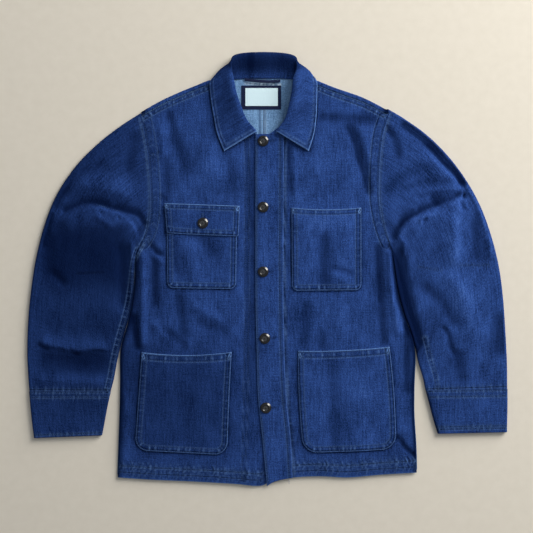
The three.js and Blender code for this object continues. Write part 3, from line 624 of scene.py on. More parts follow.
front_seams = {}
for half in HALVES:
    seams = Seams()
    seams.add(height_path(half, 8.0, 46, 284), pucker=0.6, reach=7, slant=0.8, wear=0.5, spread=7.0)
    seams.add(shoulder_path(half, 5.0), pucker=0.35, reach=5, spread=3.0)
    hem_ends = (-276, -4) if half is RIGHT else (0, 275)
    hem_row = hem_path(half, HEM_DEPTH, *hem_ends)
    hem_middle = hem_path(half, HEM_DEPTH / 2, *hem_ends)
    seams.add(hem_row, groove=0.6, pucker=1.3, reach=8, slant=0.5, wear=0.5)
    seams.add(hem_middle, groove=0, pucker=0.8, reach=12, slant=0.6, wear=0.3)
    for pocket in pockets.values():
        if pocket["half"] is half:
            # Under each pocket's edge: a groove, and painted shadow on the front beside it
            seams.add(beside(pocket_outline(pocket), -0.9), groove=0.7, pucker=0.3, reach=5, wear=0)
    front_seams[half.name] = seams
front_seams["right"].add(line([(-243, 18), (-227, 48)]), groove=0, pucker=0.5, reach=3, wear=1.0)
front_seams["right"].add(beside(FACING_ROW, 3.0), pucker=0.25, reach=4, wear=0.2, spread=3.0)
front_seams["left"].add(placket_path(-2.5), groove=1.4, pucker=0.4, reach=5)
# Where the collar's leaves lie on the fronts, with painted shadow on the fronts beside them
COLLAR_EDGES = {
    "right": [(-106, 345), (-106, 327), (-104, 305), (-100, 282), (-94, 251), (-82, 216),
              (-50, 234), (-22, 251)],
    "left": [(92, 345), (93, 327), (92, 305), (91, 282), (87, 251), (78, 216),
             (46, 234), (10, 251)],
}
for name, edge in COLLAR_EDGES.items():
    front_seams[name].add(line(edge), groove=0, pucker=0, reach=8, wear=0)


# For each front: its level where the two overlap, its lowest one, and, as distances from the
# left front's edge, how far it is pressed flat, the width over which it then rises, and where
# its folds begin
PRESSED = {
    "right": (UNDER_FRONT, UNDER_FRONT, 6.0, 40.0, 0.0),
    "left": (OVER_FRONT, LOWEST_TOP, 54.0, 34.0, 50.0),
}
FOLDS_RISE = 30.0
ARMPIT_RISE = 30.0


def front_level(half, x, y):
    """Upper face of a front before its seams: loft, pressed lower where the fronts overlap and
    at the hem, plus folds, rolled down at the side below the armpit."""
    pressed, lowest, flat, rise, folds_from = PRESSED[half.name]
    away = (x - front_edge_at(y)) * half.sign
    level = mix(pressed, LOFT, smooth((away - flat) / rise))
    level = level + fold_height(folds[half.name], x, y) * smooth((away - folds_from) / FOLDS_RISE)
    level = mix(np.minimum(level, OVER_FRONT), level, smooth((y - half.hem(x)) / HEM_REACH))
    level = np.maximum(level, lowest)
    rim = mix(LAYER + CLOTH, level, rounded(y - ARMPIT_Y, ARMPIT_RISE))
    return mix(rim, level, rounded(np.abs(half.side(y) - x), SIDE_ROLL))


# Painted shade on each side below the armpit, in the crevice where the sleeve lies against it
SIDE_SHADE = {"right": 0.5, "left": 0.8}


def front_top(half, x, y):
    """Upper face with its seams, whose relief fades out where the side rolls down. The cloth is
    one layer more, and so a little higher, in a band along the armhole."""
    relief, wear, shade = front_seams[half.name].relief(x, y)
    from_side = np.abs(half.side(y) - x)
    above_armpit = smooth((y - ARMPIT_Y) / 20)
    band = 0.6 * smooth((17 - from_side) / 3) * above_armpit
    shade = shade + fold_shade(fold_height(folds[half.name], x, y))
    # Painted shade in the crevice beside the sleeve, below the armpit
    shade = shade - SIDE_SHADE[half.name] * bell(from_side, 6) * (1 - above_armpit)
    level = front_level(half, x, y) + relief * mix(0.4, 1, smooth(from_side / 6)) + band
    return level, wear, shade


# Meshes
def graded(length, start, end, fine=1.0, coarse=2.6):
    """Places from 0 to 1 along a length: fine apart within start and end of its two ends, where
    the stitch rows run, and about coarse apart between."""
    middle = np.linspace(start, length - end, max(2, round((length - start - end) / coarse)))
    last = length - np.arange(0, end, fine)[::-1]
    return np.concatenate([np.arange(0, start, fine), middle, last]) / length


def grid_normals(grid):
    """Unit normals: along the row crossed with along the column."""
    normal = np.cross(np.gradient(grid, axis=1), np.gradient(grid, axis=0))
    length = np.linalg.norm(normal, axis=2, keepdims=True)
    return normal / np.maximum(length, 1e-9)


LEAST_RIM = 0.22


def with_rims(grid, rim):
    """Three more rows just inside each edge, for a rounded rim, and the share of the full
    thickness at every point: sqrt(1 - (1 - d / rim)^2) at distance d from the nearest edge, and
    LEAST_RIM at least."""
    inside = np.array([0, 0.14, 0.45, 1.0])

    def places(count, spacing):
        near = inside * min(rim / spacing, 0.9)
        middle = np.arange(1, count - 1)
        return np.concatenate([near, middle, count - 1 - near[::-1]])

    def spaced(values, at, axis):
        low = np.clip(np.floor(at).astype(int), 0, values.shape[axis] - 2)
        t = (at - low).reshape([-1 if k == axis else 1 for k in range(values.ndim)])
        return mix(np.take(values, low, axis), np.take(values, low + 1, axis), t)

    for axis in (0, 1):
        step = np.median(np.linalg.norm(np.diff(grid[..., :3], axis=axis), axis=2))
        at = places(grid.shape[axis], step)
        grid = spaced(grid, at, axis)
        away = np.minimum(at, at[-1] - at) * step
        share = np.maximum(rounded(away, rim), LEAST_RIM)
        shape = (-1, 1) if axis == 0 else (1, -1)
        full = share.reshape(shape) if axis == 0 else np.minimum(full, share.reshape(shape))
    return grid, full


def grid_quads(ids):
    """Quads between the neighbouring points of a grid."""
    return np.stack([ids[:-1, :-1], ids[:-1, 1:], ids[1:, 1:], ids[1:, :-1]], -1).reshape(-1, 4)


def ring_quads(ids):
    """The same for a grid whose last column is followed by its first one."""
    return grid_quads(np.concatenate([ids, ids[:, :1]], axis=1))


def in_scene(name, mesh):
    """A new object with this mesh, which moves with the frame's one body, root."""
    made = bpy.data.objects.new(name, mesh)
    SCENE.collection.objects.link(made)
    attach(made, "root")
    return made


def stand_for(made, node_name):
    """The object takes the place of a solid of the frame, which is hidden."""
    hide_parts(node_name)
    return made


def make_object(name, points, faces, uv, looks, values=None, look_of_face=None):
    """A mesh object at the origin from points in millimetres, with one UV pair and named values
    for each point."""
    mesh = bpy.data.meshes.new(name)
    faces = np.asarray(faces, np.int32)
    mesh.vertices.add(len(points))
    mesh.vertices.foreach_set("co", (np.asarray(points) * MM).astype(np.float32).ravel())
    mesh.loops.add(faces.size)
    mesh.loops.foreach_set("vertex_index", faces.ravel())
    mesh.polygons.add(len(faces))
    mesh.polygons.foreach_set("loop_start", np.arange(0, faces.size, faces.shape[1], dtype=np.int32))
    mesh.polygons.foreach_set("loop_total", np.full(len(faces), faces.shape[1], np.int32))
    for look in looks:
        mesh.materials.append(look)
    if look_of_face is not None:
        mesh.polygons.foreach_set("material_index", np.asarray(look_of_face, np.int32))
    mesh.polygons.foreach_set("use_smooth", np.ones(len(faces), bool))
    layer = mesh.uv_layers.new(name="cloth")
    layer.data.foreach_set("uv", (uv * MM)[faces.ravel()].astype(np.float32).ravel())
    for key, value in (values or {}).items():
        attribute = mesh.attributes.new(key, "FLOAT", "POINT")
        attribute.data.foreach_set("value", np.asarray(value, np.float32).ravel())
    mesh.update(calc_edges=True)
    mesh.validate()
    return in_scene(name, mesh)


def border(grid):
    """The values round the edge of a grid, in order."""
    return np.concatenate([grid[0], grid[1:, -1], grid[-1, -2::-1], grid[-2:0:-1, 0]])


def shell_faces(rows, columns):
    """Quads of an outer and an inner grid, joined round their four edges."""
    ids = np.arange(rows * columns).reshape(rows, columns)
    quads = grid_quads(ids)
    rim = border(ids)
    after = np.roll(rim, -1)
    count = rows * columns
    band = np.column_stack([rim, rim + count, after + count, after])
    return np.concatenate([quads, quads[:, ::-1] + count, band]), len(quads)


def facing_out(points, faces):
    """Turns all quads round if the signed volume they enclose is negative."""
    a, b, c, d = (points[faces[:, k]] for k in range(4))
    volume = np.einsum("ij,ij->", a, np.cross(b, c)) + np.einsum("ij,ij->", a, np.cross(c, d))
    return faces if volume > 0 else faces[:, ::-1]


def cloth(node_name, grid, thickness, looks, values, uv=None, face=1, rim=0.9):
    """A closed wall of cloth in place of a solid. The grid is its face side, which looks along
    the grid's normal, or against it where face is -1, and the wall lies behind it; looks are the
    materials of face and reverse. Its UV is its x and y unless others are given."""
    uv = grid[..., :2] if uv is None else uv
    packed = np.concatenate([grid, uv, *[value[..., None] for value in values.values()]], axis=2)
    packed, full = with_rims(packed, rim)
    points, flat = packed[..., :3], packed[..., 3:5]
    normal = grid_normals(points) * face
    middle = points - normal * thickness / 2
    half = normal * (thickness * full / 2)[..., None]
    rows, columns = points.shape[:2]
    solid = np.concatenate([(middle + half).reshape(-1, 3), (middle - half).reshape(-1, 3)])
    faces, count = shell_faces(rows, columns)
    look = np.zeros(len(faces), int)
    look[count:2 * count] = len(looks) - 1
    values = {key: np.tile(packed[..., 5 + k].ravel(), 2) for k, key in enumerate(values)}
    flat = np.tile(flat.reshape(-1, 2), (2, 1))
    made = make_object(f"{node_name}_cloth", solid, facing_out(solid, faces), flat, looks, values, look)
    return stand_for(made, node_name)


# Patches of lighter (+) or darker (-) tone: partly uneven fading of the indigo, partly painted light
# and shade, such as the darker right sleeve, the crevices, the shaded collar stand and lit swells
fades_and_painted_light = table("x y wide high amount", [
    [-345, 20, 130, 330, -0.39],
    [-334, 30, 76, 68, -0.24],
    [-352, -176, 70, 24, -0.06],
    [-300, 152, 60, 14, 0.10],
    [-300, 92, 50, 12, 0.10],
    [-385, 102, 14, 10, 0.12],
    [-368, -265, 80, 50, -0.10],
    [340, 20, 110, 330, -0.03],
    [-150, -250, 110, 110, -0.28],
    [-150, 20, 90, 120, -0.03],
    [-8, 385, 100, 24, -0.52],
    [-85, 290, 30, 70, -0.12],
    [-31, 0, 7, 400, -0.22],
    [110, 160, 90, 90, 0.06],
    [110, 40, 62, 72, 0.12],
    [145, -240, 84, 96, 0.07],
    [10, 0, 22, 380, 0.08],
    [342, 55, 14, 48, 0.14],
    [360, -60, 30, 60, 0.12],
    [250, -10, 10, 60, -0.20],
])


TONE = 0.62
LEAST_TONE = 0.06


def toned(fade, shade):
    """The fade with the painted shade and light of folds and seams worked in. Painted shade takes its
    share of the faded tone and leaves at least a little of it; painted light is added."""
    darkened = np.maximum(1 + np.minimum(shade, 0) / TONE, LEAST_TONE)
    return (TONE + fade) * darkened + np.maximum(shade, 0) - TONE


def fade_and_painted_light_at(x, y):
    """Sum of amount * exp(-(dx / wide)^4 - (dy / high)^4)."""
    total = np.zeros_like(x)
    for px, py, wide, high, amount in zip(*fades_and_painted_light.values()):
        total += amount * np.exp(-((x - px) / wide) ** 4 - ((y - py) / high) ** 4)
    return total


# Materials
def set_sockets(shader, **settings):
    """Sets sockets of a shader by name, with an underscore for each space."""
    for key, value in settings.items():
        shader.inputs[key.replace("_", " ")].default_value = value


def recipe(name):
    """A new material, its node tree and the Principled shader in it."""
    material = bpy.data.materials.new(name)
    material.use_nodes = True
    tree = material.node_tree
    return material, tree, tree.nodes["Principled BSDF"]


def node(tree, kind, settings=None, **sockets):
    """Adds a node. Sockets take a number, a colour or another node's output; a digit after an
    underscore picks a socket by its place."""
    made = tree.nodes.new(kind)
    for key, value in (settings or {}).items():
        setattr(made, key, value)
    for key, value in sockets.items():
        place = key.rsplit("_", 1)[-1]
        socket = made.inputs[int(place) if place.isdigit() else key]
        if isinstance(value, bpy.types.NodeSocket):
            tree.links.new(value, socket)
        else:
            socket.default_value = value
    return made


def math_node(tree, operation, a, b=0.0, clamp=False):
    """A sum, product or other operation on a and b, kept between 0 and 1 where clamp is set."""
    settings = {"operation": operation, "use_clamp": clamp}
    return node(tree, "ShaderNodeMath", settings, in_0=a, in_1=b).outputs[0]


def colour_mix(tree, share, a, b):
    """a where the share is 0, b where it is 1. A mix node's colours are its sockets 6 and 7."""
    return node(tree, "ShaderNodeMix", {"data_type": "RGBA"}, in_0=share, in_6=a, in_7=b).outputs[2]


def stretched_noise(tree, coordinates, across, along, detail=2.0, roughness=0.5):
    """Noise with its own scale, in cells a metre, across and along the cloth's warp."""
    scaled = node(tree, "ShaderNodeVectorMath", {"operation": "MULTIPLY"},
                  in_0=coordinates, in_1=(across, along, 1.0)).outputs[0]
    noise = node(tree, "ShaderNodeTexNoise", {"noise_dimensions": "2D"},
                 Vector=scaled, Scale=1.0, Detail=detail, Roughness=roughness)
    return noise.outputs[0]


def centred(tree, value, strength):
    """(value - 0.5) * strength."""
    return math_node(tree, "MULTIPLY", math_node(tree, "SUBTRACT", value, 0.5), strength)


# The denim's noises: cells a metre across and along the warp, detail, roughness, and how much
# each varies the tone
DENIM_NOISES = {
    "slub": (300, 34, 3.0, 0.6, 1.4),
    "weft": (30, 420, 2.0, 0.5, 0.6),
    "grain": (430, 380, 2.0, 0.6, 1.8),
    "cloud": (24, 16, 4.0, 0.55, 1.4),
}
LEAST_BASE = 0.02
# The tone at which single threads begin to be as light as the worn cloth
FLECK_TONE = 0.95
# Distances in metres between the twill's ribs, across and along the warp
RIB_ACROSS = 0.0011
RIB_ALONG = 0.0019


def denim(name, deep, middle, light, roughness=0.9, contrast=1.0, fleck_share=0.5):
    """Twill whose colour runs from deep through middle to light with a tone: TONE plus the fade,
    which carries uneven fading and painted light and shade, times 1 plus centred noises for slubs
    along the warp, fainter ones across, grain and clouds. Wear brings it to the light colour."""
    material, tree, shader = recipe(name)
    uv = node(tree, "ShaderNodeUVMap", {"uv_map": "cloth"}).outputs[0]
    fade = node(tree, "ShaderNodeAttribute", {"attribute_name": "fade"}).outputs["Fac"]
    wear = node(tree, "ShaderNodeAttribute", {"attribute_name": "wear"}).outputs["Fac"]
    noises = {}
    varied = 1.0
    for key, (across, along, detail, rough, strength) in DENIM_NOISES.items():
        noises[key] = stretched_noise(tree, uv, across, along, detail, rough)
        varied = math_node(tree, "ADD", varied, centred(tree, noises[key], strength * contrast))
    slub, grain = noises["slub"], noises["grain"]
    base_tone = math_node(tree, "MAXIMUM", math_node(tree, "ADD", TONE, fade), LEAST_BASE)
    tone = math_node(tree, "MULTIPLY", base_tone, varied)
    low = colour_mix(tree, math_node(tree, "MULTIPLY", tone, 1.0, True), deep, middle)
    flecks = math_node(tree, "SUBTRACT", tone, FLECK_TONE)
    above = math_node(tree, "MULTIPLY", flecks, fleck_share, True)
    worn = math_node(tree, "MULTIPLY", wear, math_node(tree, "ADD", 0.4, grain), True)
    base = colour_mix(tree, math_node(tree, "MAXIMUM", worn, above), low, light)
    tree.links.new(base, shader.inputs["Base Color"])
    # The twill: fine diagonal ribs, broken up by the slubs
    waves = (2 * math.pi / RIB_ACROSS, 2 * math.pi / RIB_ALONG, 0.0)
    diagonal = node(tree, "ShaderNodeVectorMath", {"operation": "DOT_PRODUCT"},
                    in_0=uv, in_1=waves).outputs[1]
    rib = math_node(tree, "SINE", math_node(tree, "ADD", diagonal, centred(tree, slub, 6.0)))
    height = math_node(tree, "ADD", math_node(tree, "MULTIPLY", rib, 0.2), centred(tree, grain, 2.4))
    height = math_node(tree, "ADD", height, centred(tree, slub, 1.4))
    bump = node(tree, "ShaderNodeBump", None, Strength=0.6, Distance=0.0005, Height=height)
    tree.links.new(bump.outputs[0], shader.inputs["Normal"])
    set_sockets(shader, Roughness=roughness, Specular_IOR_Level=0.0, Sheen_Weight=0.012,
                Sheen_Roughness=0.6, Sheen_Tint=(0.3, 0.45, 1.0, 1.0))
    return material


def plain_cloth(name, colour, second, scale=700.0, roughness=0.9):
    """Plain weave: two crossed sets of fine stripes between two near colours."""
    material, tree, shader = recipe(name)
    uv = node(tree, "ShaderNodeUVMap", {"uv_map": "cloth"}).outputs[0]
    grain = stretched_noise(tree, uv, scale, scale, 2.0, 0.5)
    warp = stretched_noise(tree, uv, scale, scale / 12, 1.0, 0.5)
    tone = math_node(tree, "ADD", math_node(tree, "MULTIPLY", grain, 0.6),
                     math_node(tree, "MULTIPLY", warp, 0.5), True)
    tree.links.new(colour_mix(tree, tone, colour, second), shader.inputs["Base Color"])
    bump = node(tree, "ShaderNodeBump", None, Strength=0.4, Distance=0.0003, Height=tone)
    tree.links.new(bump.outputs[0], shader.inputs["Normal"])
    set_sockets(shader, Roughness=roughness, Specular_IOR_Level=0.1)
    return material


def glossy(name, colour, roughness):
    """Polished plastic, its gloss broken by faint rubbing."""
    material, tree, shader = recipe(name)
    place = node(tree, "ShaderNodeTexCoord").outputs["Object"]
    rub = node(tree, "ShaderNodeTexNoise", None, Vector=place, Scale=900.0, Detail=3.0).outputs[0]
    tone = colour_mix(tree, rub, colour, tuple(1.8 * c for c in colour[:3]) + (1.0,))
    tree.links.new(tone, shader.inputs["Base Color"])
    rough = math_node(tree, "ADD", roughness, centred(tree, rub, 0.12), True)
    tree.links.new(rough, shader.inputs["Roughness"])
    set_sockets(shader, Coat_Weight=0.6, Coat_Roughness=0.17)
    return material


FACE = denim("denim_face", (0.0018, 0.0062, 0.033, 1), (0.0310, 0.0815, 0.302, 1), (0.13, 0.26, 0.58, 1))
REVERSE = denim("denim_reverse", (0.06, 0.135, 0.28, 1), (0.23, 0.42, 0.71, 1), (0.50, 0.65, 0.82, 1),
                roughness=0.92, contrast=1.1, fleck_share=0.8)
THREAD = plain_cloth("tonal_thread", (0.015, 0.042, 0.15, 1), (0.05, 0.12, 0.33, 1), 500.0, 0.7)
PATCH = plain_cloth("navy_patch", (0.006, 0.010, 0.035, 1), (0.016, 0.024, 0.07, 1))
LABEL = plain_cloth("blank_label", (0.62, 0.83, 0.91, 1), (0.74, 0.93, 1.0, 1))
BUTTON = glossy("black_button", (0.004, 0.004, 0.005, 1), 0.27)
DENIM = (FACE, REVERSE)
BOTH_FACES = (FACE, FACE)


def cloth_values(x, y, wear, shade=0.0):
    """Values for the denim: wear from 0 to 1, and the fade, partly painted light and shade, with the
    painted shade of folds and seams worked in.
    """
    return {"wear": np.clip(wear, 0, 1), "fade": toned(fade_and_painted_light_at(x, y), shade)}


# Fronts
ROLL_COLUMNS = 8
BODY_LENGTH = 650.0
# About where the hems lie, to begin with
FRONT_HEM_Y = -390.0
BACK_HEM_Y = -380.0


def front_places(half):
    """(x, y) of a front's grid, as in the solids: columns from the front edge to the side, one of
    them into the corner of the neck, rows from the hem to the neckline or shoulder seam."""
    sign = half.sign
    start = OVERLAP if half is RIGHT else 0.0
    tip = SHOULDER_TIP_Y
    inner_tip = front_edge_at(tip) + start
    wide = half.side(tip) - sign * SIDE_ROLL - inner_tip
    corner = (CENTRE_BACK + sign * NECK_CORNER - inner_tip) / wide
    reach = abs(wide)
    near = corner * graded(corner * reach, 12, 4)[:-1]
    far = mix(corner, 1, graded((1 - corner) * reach, 4, 14))
    share = np.concatenate([near, far, np.ones(ROLL_COLUMNS)])
    turn = np.linspace(0, np.pi / 2, ROLL_COLUMNS + 1)[1:]
    roll = np.concatenate([np.zeros(len(near) + len(far)), np.sin(turn)])

    def x_at(y):
        inner = front_edge_at(y) + start
        return mix(inner, half.side(y) - sign * SIDE_ROLL, share) + sign * SIDE_ROLL * roll

    def top_line(x):
        out = np.abs(x - CENTRE_BACK)
        own_side = (x - CENTRE_BACK) * sign > 0
        seam = half.shoulder(out) - SHOULDER_SEAM_DROP
        neck = np.where(own_side, neckline_at(out), FRONT_NECK_Y)
        return np.where(out > NECK_CORNER, seam, neck)

    bottom, top = np.full(share.shape, FRONT_HEM_Y), np.full(share.shape, tip)
    for _ in range(6):
        bottom, top = half.hem(x_at(bottom)), top_line(x_at(top))
    y = mix(bottom, top, graded(BODY_LENGTH, 32, 14)[:, None])
    return np.stack([x_at(y), y], -1)


def make_front(half):
    """A front with its folds and seams, worn light along the very edge of its hem."""
    x, y = np.moveaxis(front_places(half), -1, 0)
    z, wear, shade = front_top(half, x, y)
    hem = bell(y - half.hem(x), 1.2) * 0.5
    grid = np.stack([x, y, z], -1)
    values = cloth_values(x, y, np.maximum(wear, hem), shade)
    return cloth(f"front_{half.name}", grid, CLOTH, DENIM, values, face=half.sign)


fronts = {half.name: make_front(half) for half in HALVES}


# Back
# Width of the strip that turns over the shoulder, to its seam
TURNED_STRIP = math.pi * SHOULDER_ROLL + SHOULDER_TURN
# How far the back reaches under the sleeve, and the mesh's columns and rows
UNDER_SLEEVE = 1.0
BACK_COLUMNS = 76
BACK_ROWS = 140
# Distance from the centre back at which the turn over the shoulder begins, the width over which
# it grows to half a turn, and how much shorter the turned strip is between
CURL_FROM = 84.0
CURL_WIDE = 16.0
CURL_DRAW = 1.9


def back_places(half, turn_rows=12):
    """The face side of a back half: flat from the hem, then turned up over the shoulder by half a
    turn of radius SHOULDER_ROLL and on to the shoulder seam, but not under the collar."""
    sign = half.sign
    middle = CENTRE_BACK + sign * SEAM_GAP / 2
    share = np.linspace(0, 1, BACK_COLUMNS)
    rise = np.concatenate([np.linspace(0, 1, BACK_ROWS), np.ones(turn_rows)])[:, None]
    turned = np.concatenate([np.zeros(BACK_ROWS), np.linspace(0, 1, turn_rows + 1)[1:]])[:, None]

    def x_at(y):
        below = smooth((ARMPIT_Y - y) / 20)
        return mix(middle, half.side(y) + sign * mix(-SEAM_GAP, UNDER_SLEEVE, below), share)

    out = np.abs(x_at(np.full(BACK_COLUMNS, SHOULDER_TIP_Y)) - CENTRE_BACK)
    curl = smooth((out - CURL_FROM) / CURL_WIDE)
    length = TURNED_STRIP * (1 - CURL_DRAW * curl * (1 - curl))
    start = mix(back_neckline_at(out) - length, half.shoulder(out) - SHOULDER_ROLL, curl)
    y = mix(back_hem_at(x_at(np.full(BACK_COLUMNS, BACK_HEM_Y))), start, rise)
    x = x_at(y)
    run = length * turned
    radius = SHOULDER_ROLL / np.maximum(curl, 1e-3)
    angle = np.minimum(run / radius, np.pi * curl)
    rest = run - angle * radius
    y = y + radius * np.sin(angle) + rest * np.cos(angle)
    z = radius * (1 - np.cos(angle)) + rest * np.sin(angle)
    return np.stack([x, y, z], -1)


back_folds = table(FOLD, [
    [-200, 180, -120, 120, 8, 14, 9, 1.0],
    [-60, 250, -90, 90, -6, 12, 16, 0.8],
    [-230, -60, -150, -110, 6, 10, 14, 1.1],
    [-180, -180, -60, -230, -8, 16, 12, 0.9],
    [60, 200, 150, 110, 6, 12, 12, 1.0],
    [90, 0, 110, -160, 5, 15, 11, 0.8],
    [150, -120, 240, -190, -6, 10, 12, 1.1],
    [40, -250, 160, -300, 6, 14, 14, 0.8],
])


# Rows beside the centre back seam: distance from it and wear
CENTRE_ROWS = {"right": ((5.0, 0.2), (5.4, 0.2)), "left": ((1.0, 0.5), (3.6, 0.5))}
# The patch in the neck is sewn through the back along this line, from outside
PATCH_ROW = [(-40, 344), (22, 341)]


def make_back(half):
    """The underside rests on the surface, with a few shallow creases and the seams' grooves
    standing off it, so nothing reaches below it."""
    grid = back_places(half)
    x, y = grid[..., 0], grid[..., 1]
    seams = Seams()
    for away, worn in CENTRE_ROWS[half.name]:
        row_x = CENTRE_BACK + half.sign * away
        seams.add(line([(row_x, -380), (row_x, 350)]), groove=-0.3, pucker=0.15, reach=3, wear=worn)
    seams.add(line(PATCH_ROW), groove=0, pucker=0.3, reach=2.5, wear=2.0)
    seams.add(height_path(half, 2.0, 46, 284), groove=-0.3, pucker=0.15, reach=4)
    seams.add(height_path(half, 15.0, 50, 278), groove=-0.3, pucker=0.15, reach=4)
    hem_x = np.arange(-276, 276, 4.0)
    hem_x = hem_x[hem_x * half.sign > 0]
    seams.add(np.column_stack([hem_x, back_hem_at(hem_x) + HEM_DEPTH]), groove=-0.3, pucker=0.2, reach=6)
    relief, wear, shade = seams.relief(x, y)
    lift = np.maximum(fold_height(back_folds, x, y) + relief, 0)
    below_shoulder = half.shoulder(np.abs(x - CENTRE_BACK)) - 12 - y
    flat = smooth((SHOULDER_ROLL - grid[..., 2]) / SHOULDER_ROLL) * smooth(below_shoulder / 10)
    grid[..., 2] += lift * flat
    # The fade here is painted shade: the seams' own, and a dark band along the side where the back shows
    # in the crevice under the sleeve
    values = {"wear": wear, "fade": shade - bell(np.abs(half.side(y) - x), 9)}
    return cloth(f"back_{half.name}", grid, CLOTH, DENIM, values, face=-half.sign)


backs = {half.name: make_back(half) for half in HALVES}


# Placket
BUTTON_PLACES = [(-8, 237), (-8, 115), (-8, -4), (-5, -127), (-3, -255)]


placket_seams = Seams()
placket_seams.add(placket_path(7.0), groove=0.45, pucker=0.4, reach=4, wear=0.35)
placket_seams.add(EDGE_ROW, groove=0.3, pucker=0.3, reach=4, wear=0.3)
# Painted shade in each buttonhole's slot
for x, y in BUTTON_PLACES:
    placket_seams.add(line([(x + 3, y), (x + 19, y)]), groove=0.9, pucker=0, reach=2, wear=0)


def placket_top(x, y):
    """The left front's upper face and one more layer, with the placket's own seams and a ridge
    beside its inner edge."""
    relief, wear, shade = placket_seams.relief(x, y)
    inner = front_edge_at(y) + placket_width_at(y) - x
    ridge = 0.7 * bell(inner - 2.0, 2.6)
    return front_level(LEFT, x, y) + LAYER + 0.1 + relief + ridge, wear, shade


PLACKET_WIDE = 52.0


def make_placket():
    """A strip over the left front, from its edge inwards, whose two long edges are worn light."""
    y = graded(BODY_LENGTH, 26, 2, coarse=2.4)[:, None]
    share = graded(PLACKET_WIDE, 10, 16)
    x_low = front_edge_at(PLACKET_LOW) + placket_width_at(PLACKET_LOW) * share
    bottom = LEFT.hem(x_low)
    rows = bottom + (placket_neck(share) - bottom) * y
    x = front_edge_at(rows) + placket_width_at(rows) * share
    z, wear, shade = placket_top(x, rows)
    grid = np.stack([x, rows, z], -1)
    edge = 0.4 * bell(x - front_edge_at(rows), 1.2) + 0.25 * bell(share - 1.0, 0.02)
    values = cloth_values(x, rows, np.maximum(wear, edge), shade)
    return cloth("front_placket", grid, CLOTH, BOTH_FACES, values)


def placket_neck(share):
    """Top end of the placket: level to the collar's end, then up along the neckline."""
    x = front_edge_at(FRONT_NECK_Y) + placket_width_at(FRONT_NECK_Y) * share
    out = x - CENTRE_BACK
    return np.where(out > 12, neckline_at(out), FRONT_NECK_Y)


placket = make_placket()


# Pockets
CORNER_ROWS = np.array([0, 0.12, 0.35, 0.65])


def pocket_grid(pocket):
    """Points closer together near the edges, most of all where the bottom corners turn."""
    (left, top), right, _, bottom = pocket["corners"]
    width = math.hypot(right[0] - left, right[1] - top)
    height = math.hypot(left - bottom[0], top - bottom[1])
    t = graded(height, 13, 14)
    t = np.concatenate([CORNER_ROWS / height, t[1:]])
    return pocket_place(pocket, graded(width, 13, 13)[None, :], t[:, None])


def rim_height(distance):
    """Turned-in edges: the doubled cloth inside is about 9 mm wide and 0.6 mm high, and the rim
    itself rolls over within 1.4 mm."""
    return 0.6 * smooth((10 - distance) / 2.5) - 0.7 * (1 - rounded(distance, 1.4))


# Distances of the two stitch rows from a pocket's edge
EDGE_ROWS = (2.0, 9.0)
# The tack in a pocket's two upper corners, as shares of the way in to the top hem's end
TACK = (0.3, 1.4)
# How far a pocket lies above the front's layer, and the flap above that
POCKET_CLEAR = 0.15
FLAP_LIFT = LAYER + 0.6


def make_pocket(name, pocket, top_hem, lift=0.0):
    """A layer over the front, with turned-in edges, two rows along them and below the upper
    edge, tacks in the upper corners, and rubbed edges with a line of painted shade inside them."""
    half = pocket["half"]
    x, y = pocket_grid(pocket)
    outline = pocket_outline(pocket)
    distance, arc, _ = path_distance(x, y, outline)
    seams = Seams()
    near, far = EDGE_ROWS
    low, high = top_hem
    hem = top_hem_path(pocket, (low + high) / 2, np.linspace(0.02, 0.98, 40))
    seams.add(beside(outline, (near + far) / 2), pucker=0.5, spread=(far - near) / 2, wear=0.5)
    seams.add(hem, pucker=0.55, spread=(high - low) / 2, wear=0.5)
    for place in (0, -1):
        inwards = hem[place] - outline[place]
        tack = np.stack([outline[place] + TACK[0] * inwards, outline[place] + TACK[1] * inwards])
        seams.add(tack, groove=0.3, pucker=0, reach=1.5, wear=2.0)
    relief, wear, shade = seams.relief(x, y)
    z = front_level(half, x, y) + LAYER + POCKET_CLEAR + lift + rim_height(distance) + relief
    _, top_y = pocket_place(pocket, np.clip((x - x.min()) / np.ptp(x), 0, 1), 1.0)
    rubbed = 0.65 + 0.35 * ripple(arc, 5.0)
    wear = np.maximum(wear, rubbed * bell(distance, 1.0))
    wear = np.maximum(wear, 0.9 * bell(top_y - y, 1.2))
    # Painted shade from the folds, and a line of painted shade where the turned-in edge ends
    shade = shade + fold_shade(fold_height(folds[half.name], x, y)) - 0.35 * bell(distance - 3.2, 1.0)
    grid = np.stack([x, y, z], -1)
    return cloth(name, grid, CLOTH, DENIM, cloth_values(x, y, wear, shade))


# Distances of the two stitch rows below each upper edge
TOP_HEM = {
    "chest_pocket_right": (2.0, 10.0),
    "chest_pocket_left": (2.0, 9.0),
    "hip_pocket_right": (3.0, 12.0),
    "hip_pocket_left": (3.0, 12.0),
    "chest_pocket_flap": (1.5, 8.0),
}
pocket_cloth = {name: make_pocket(name, pocket, TOP_HEM[name]) for name, pocket in pockets.items()}
flap_cloth = make_pocket("chest_pocket_flap", flap, TOP_HEM["chest_pocket_flap"], FLAP_LIFT)


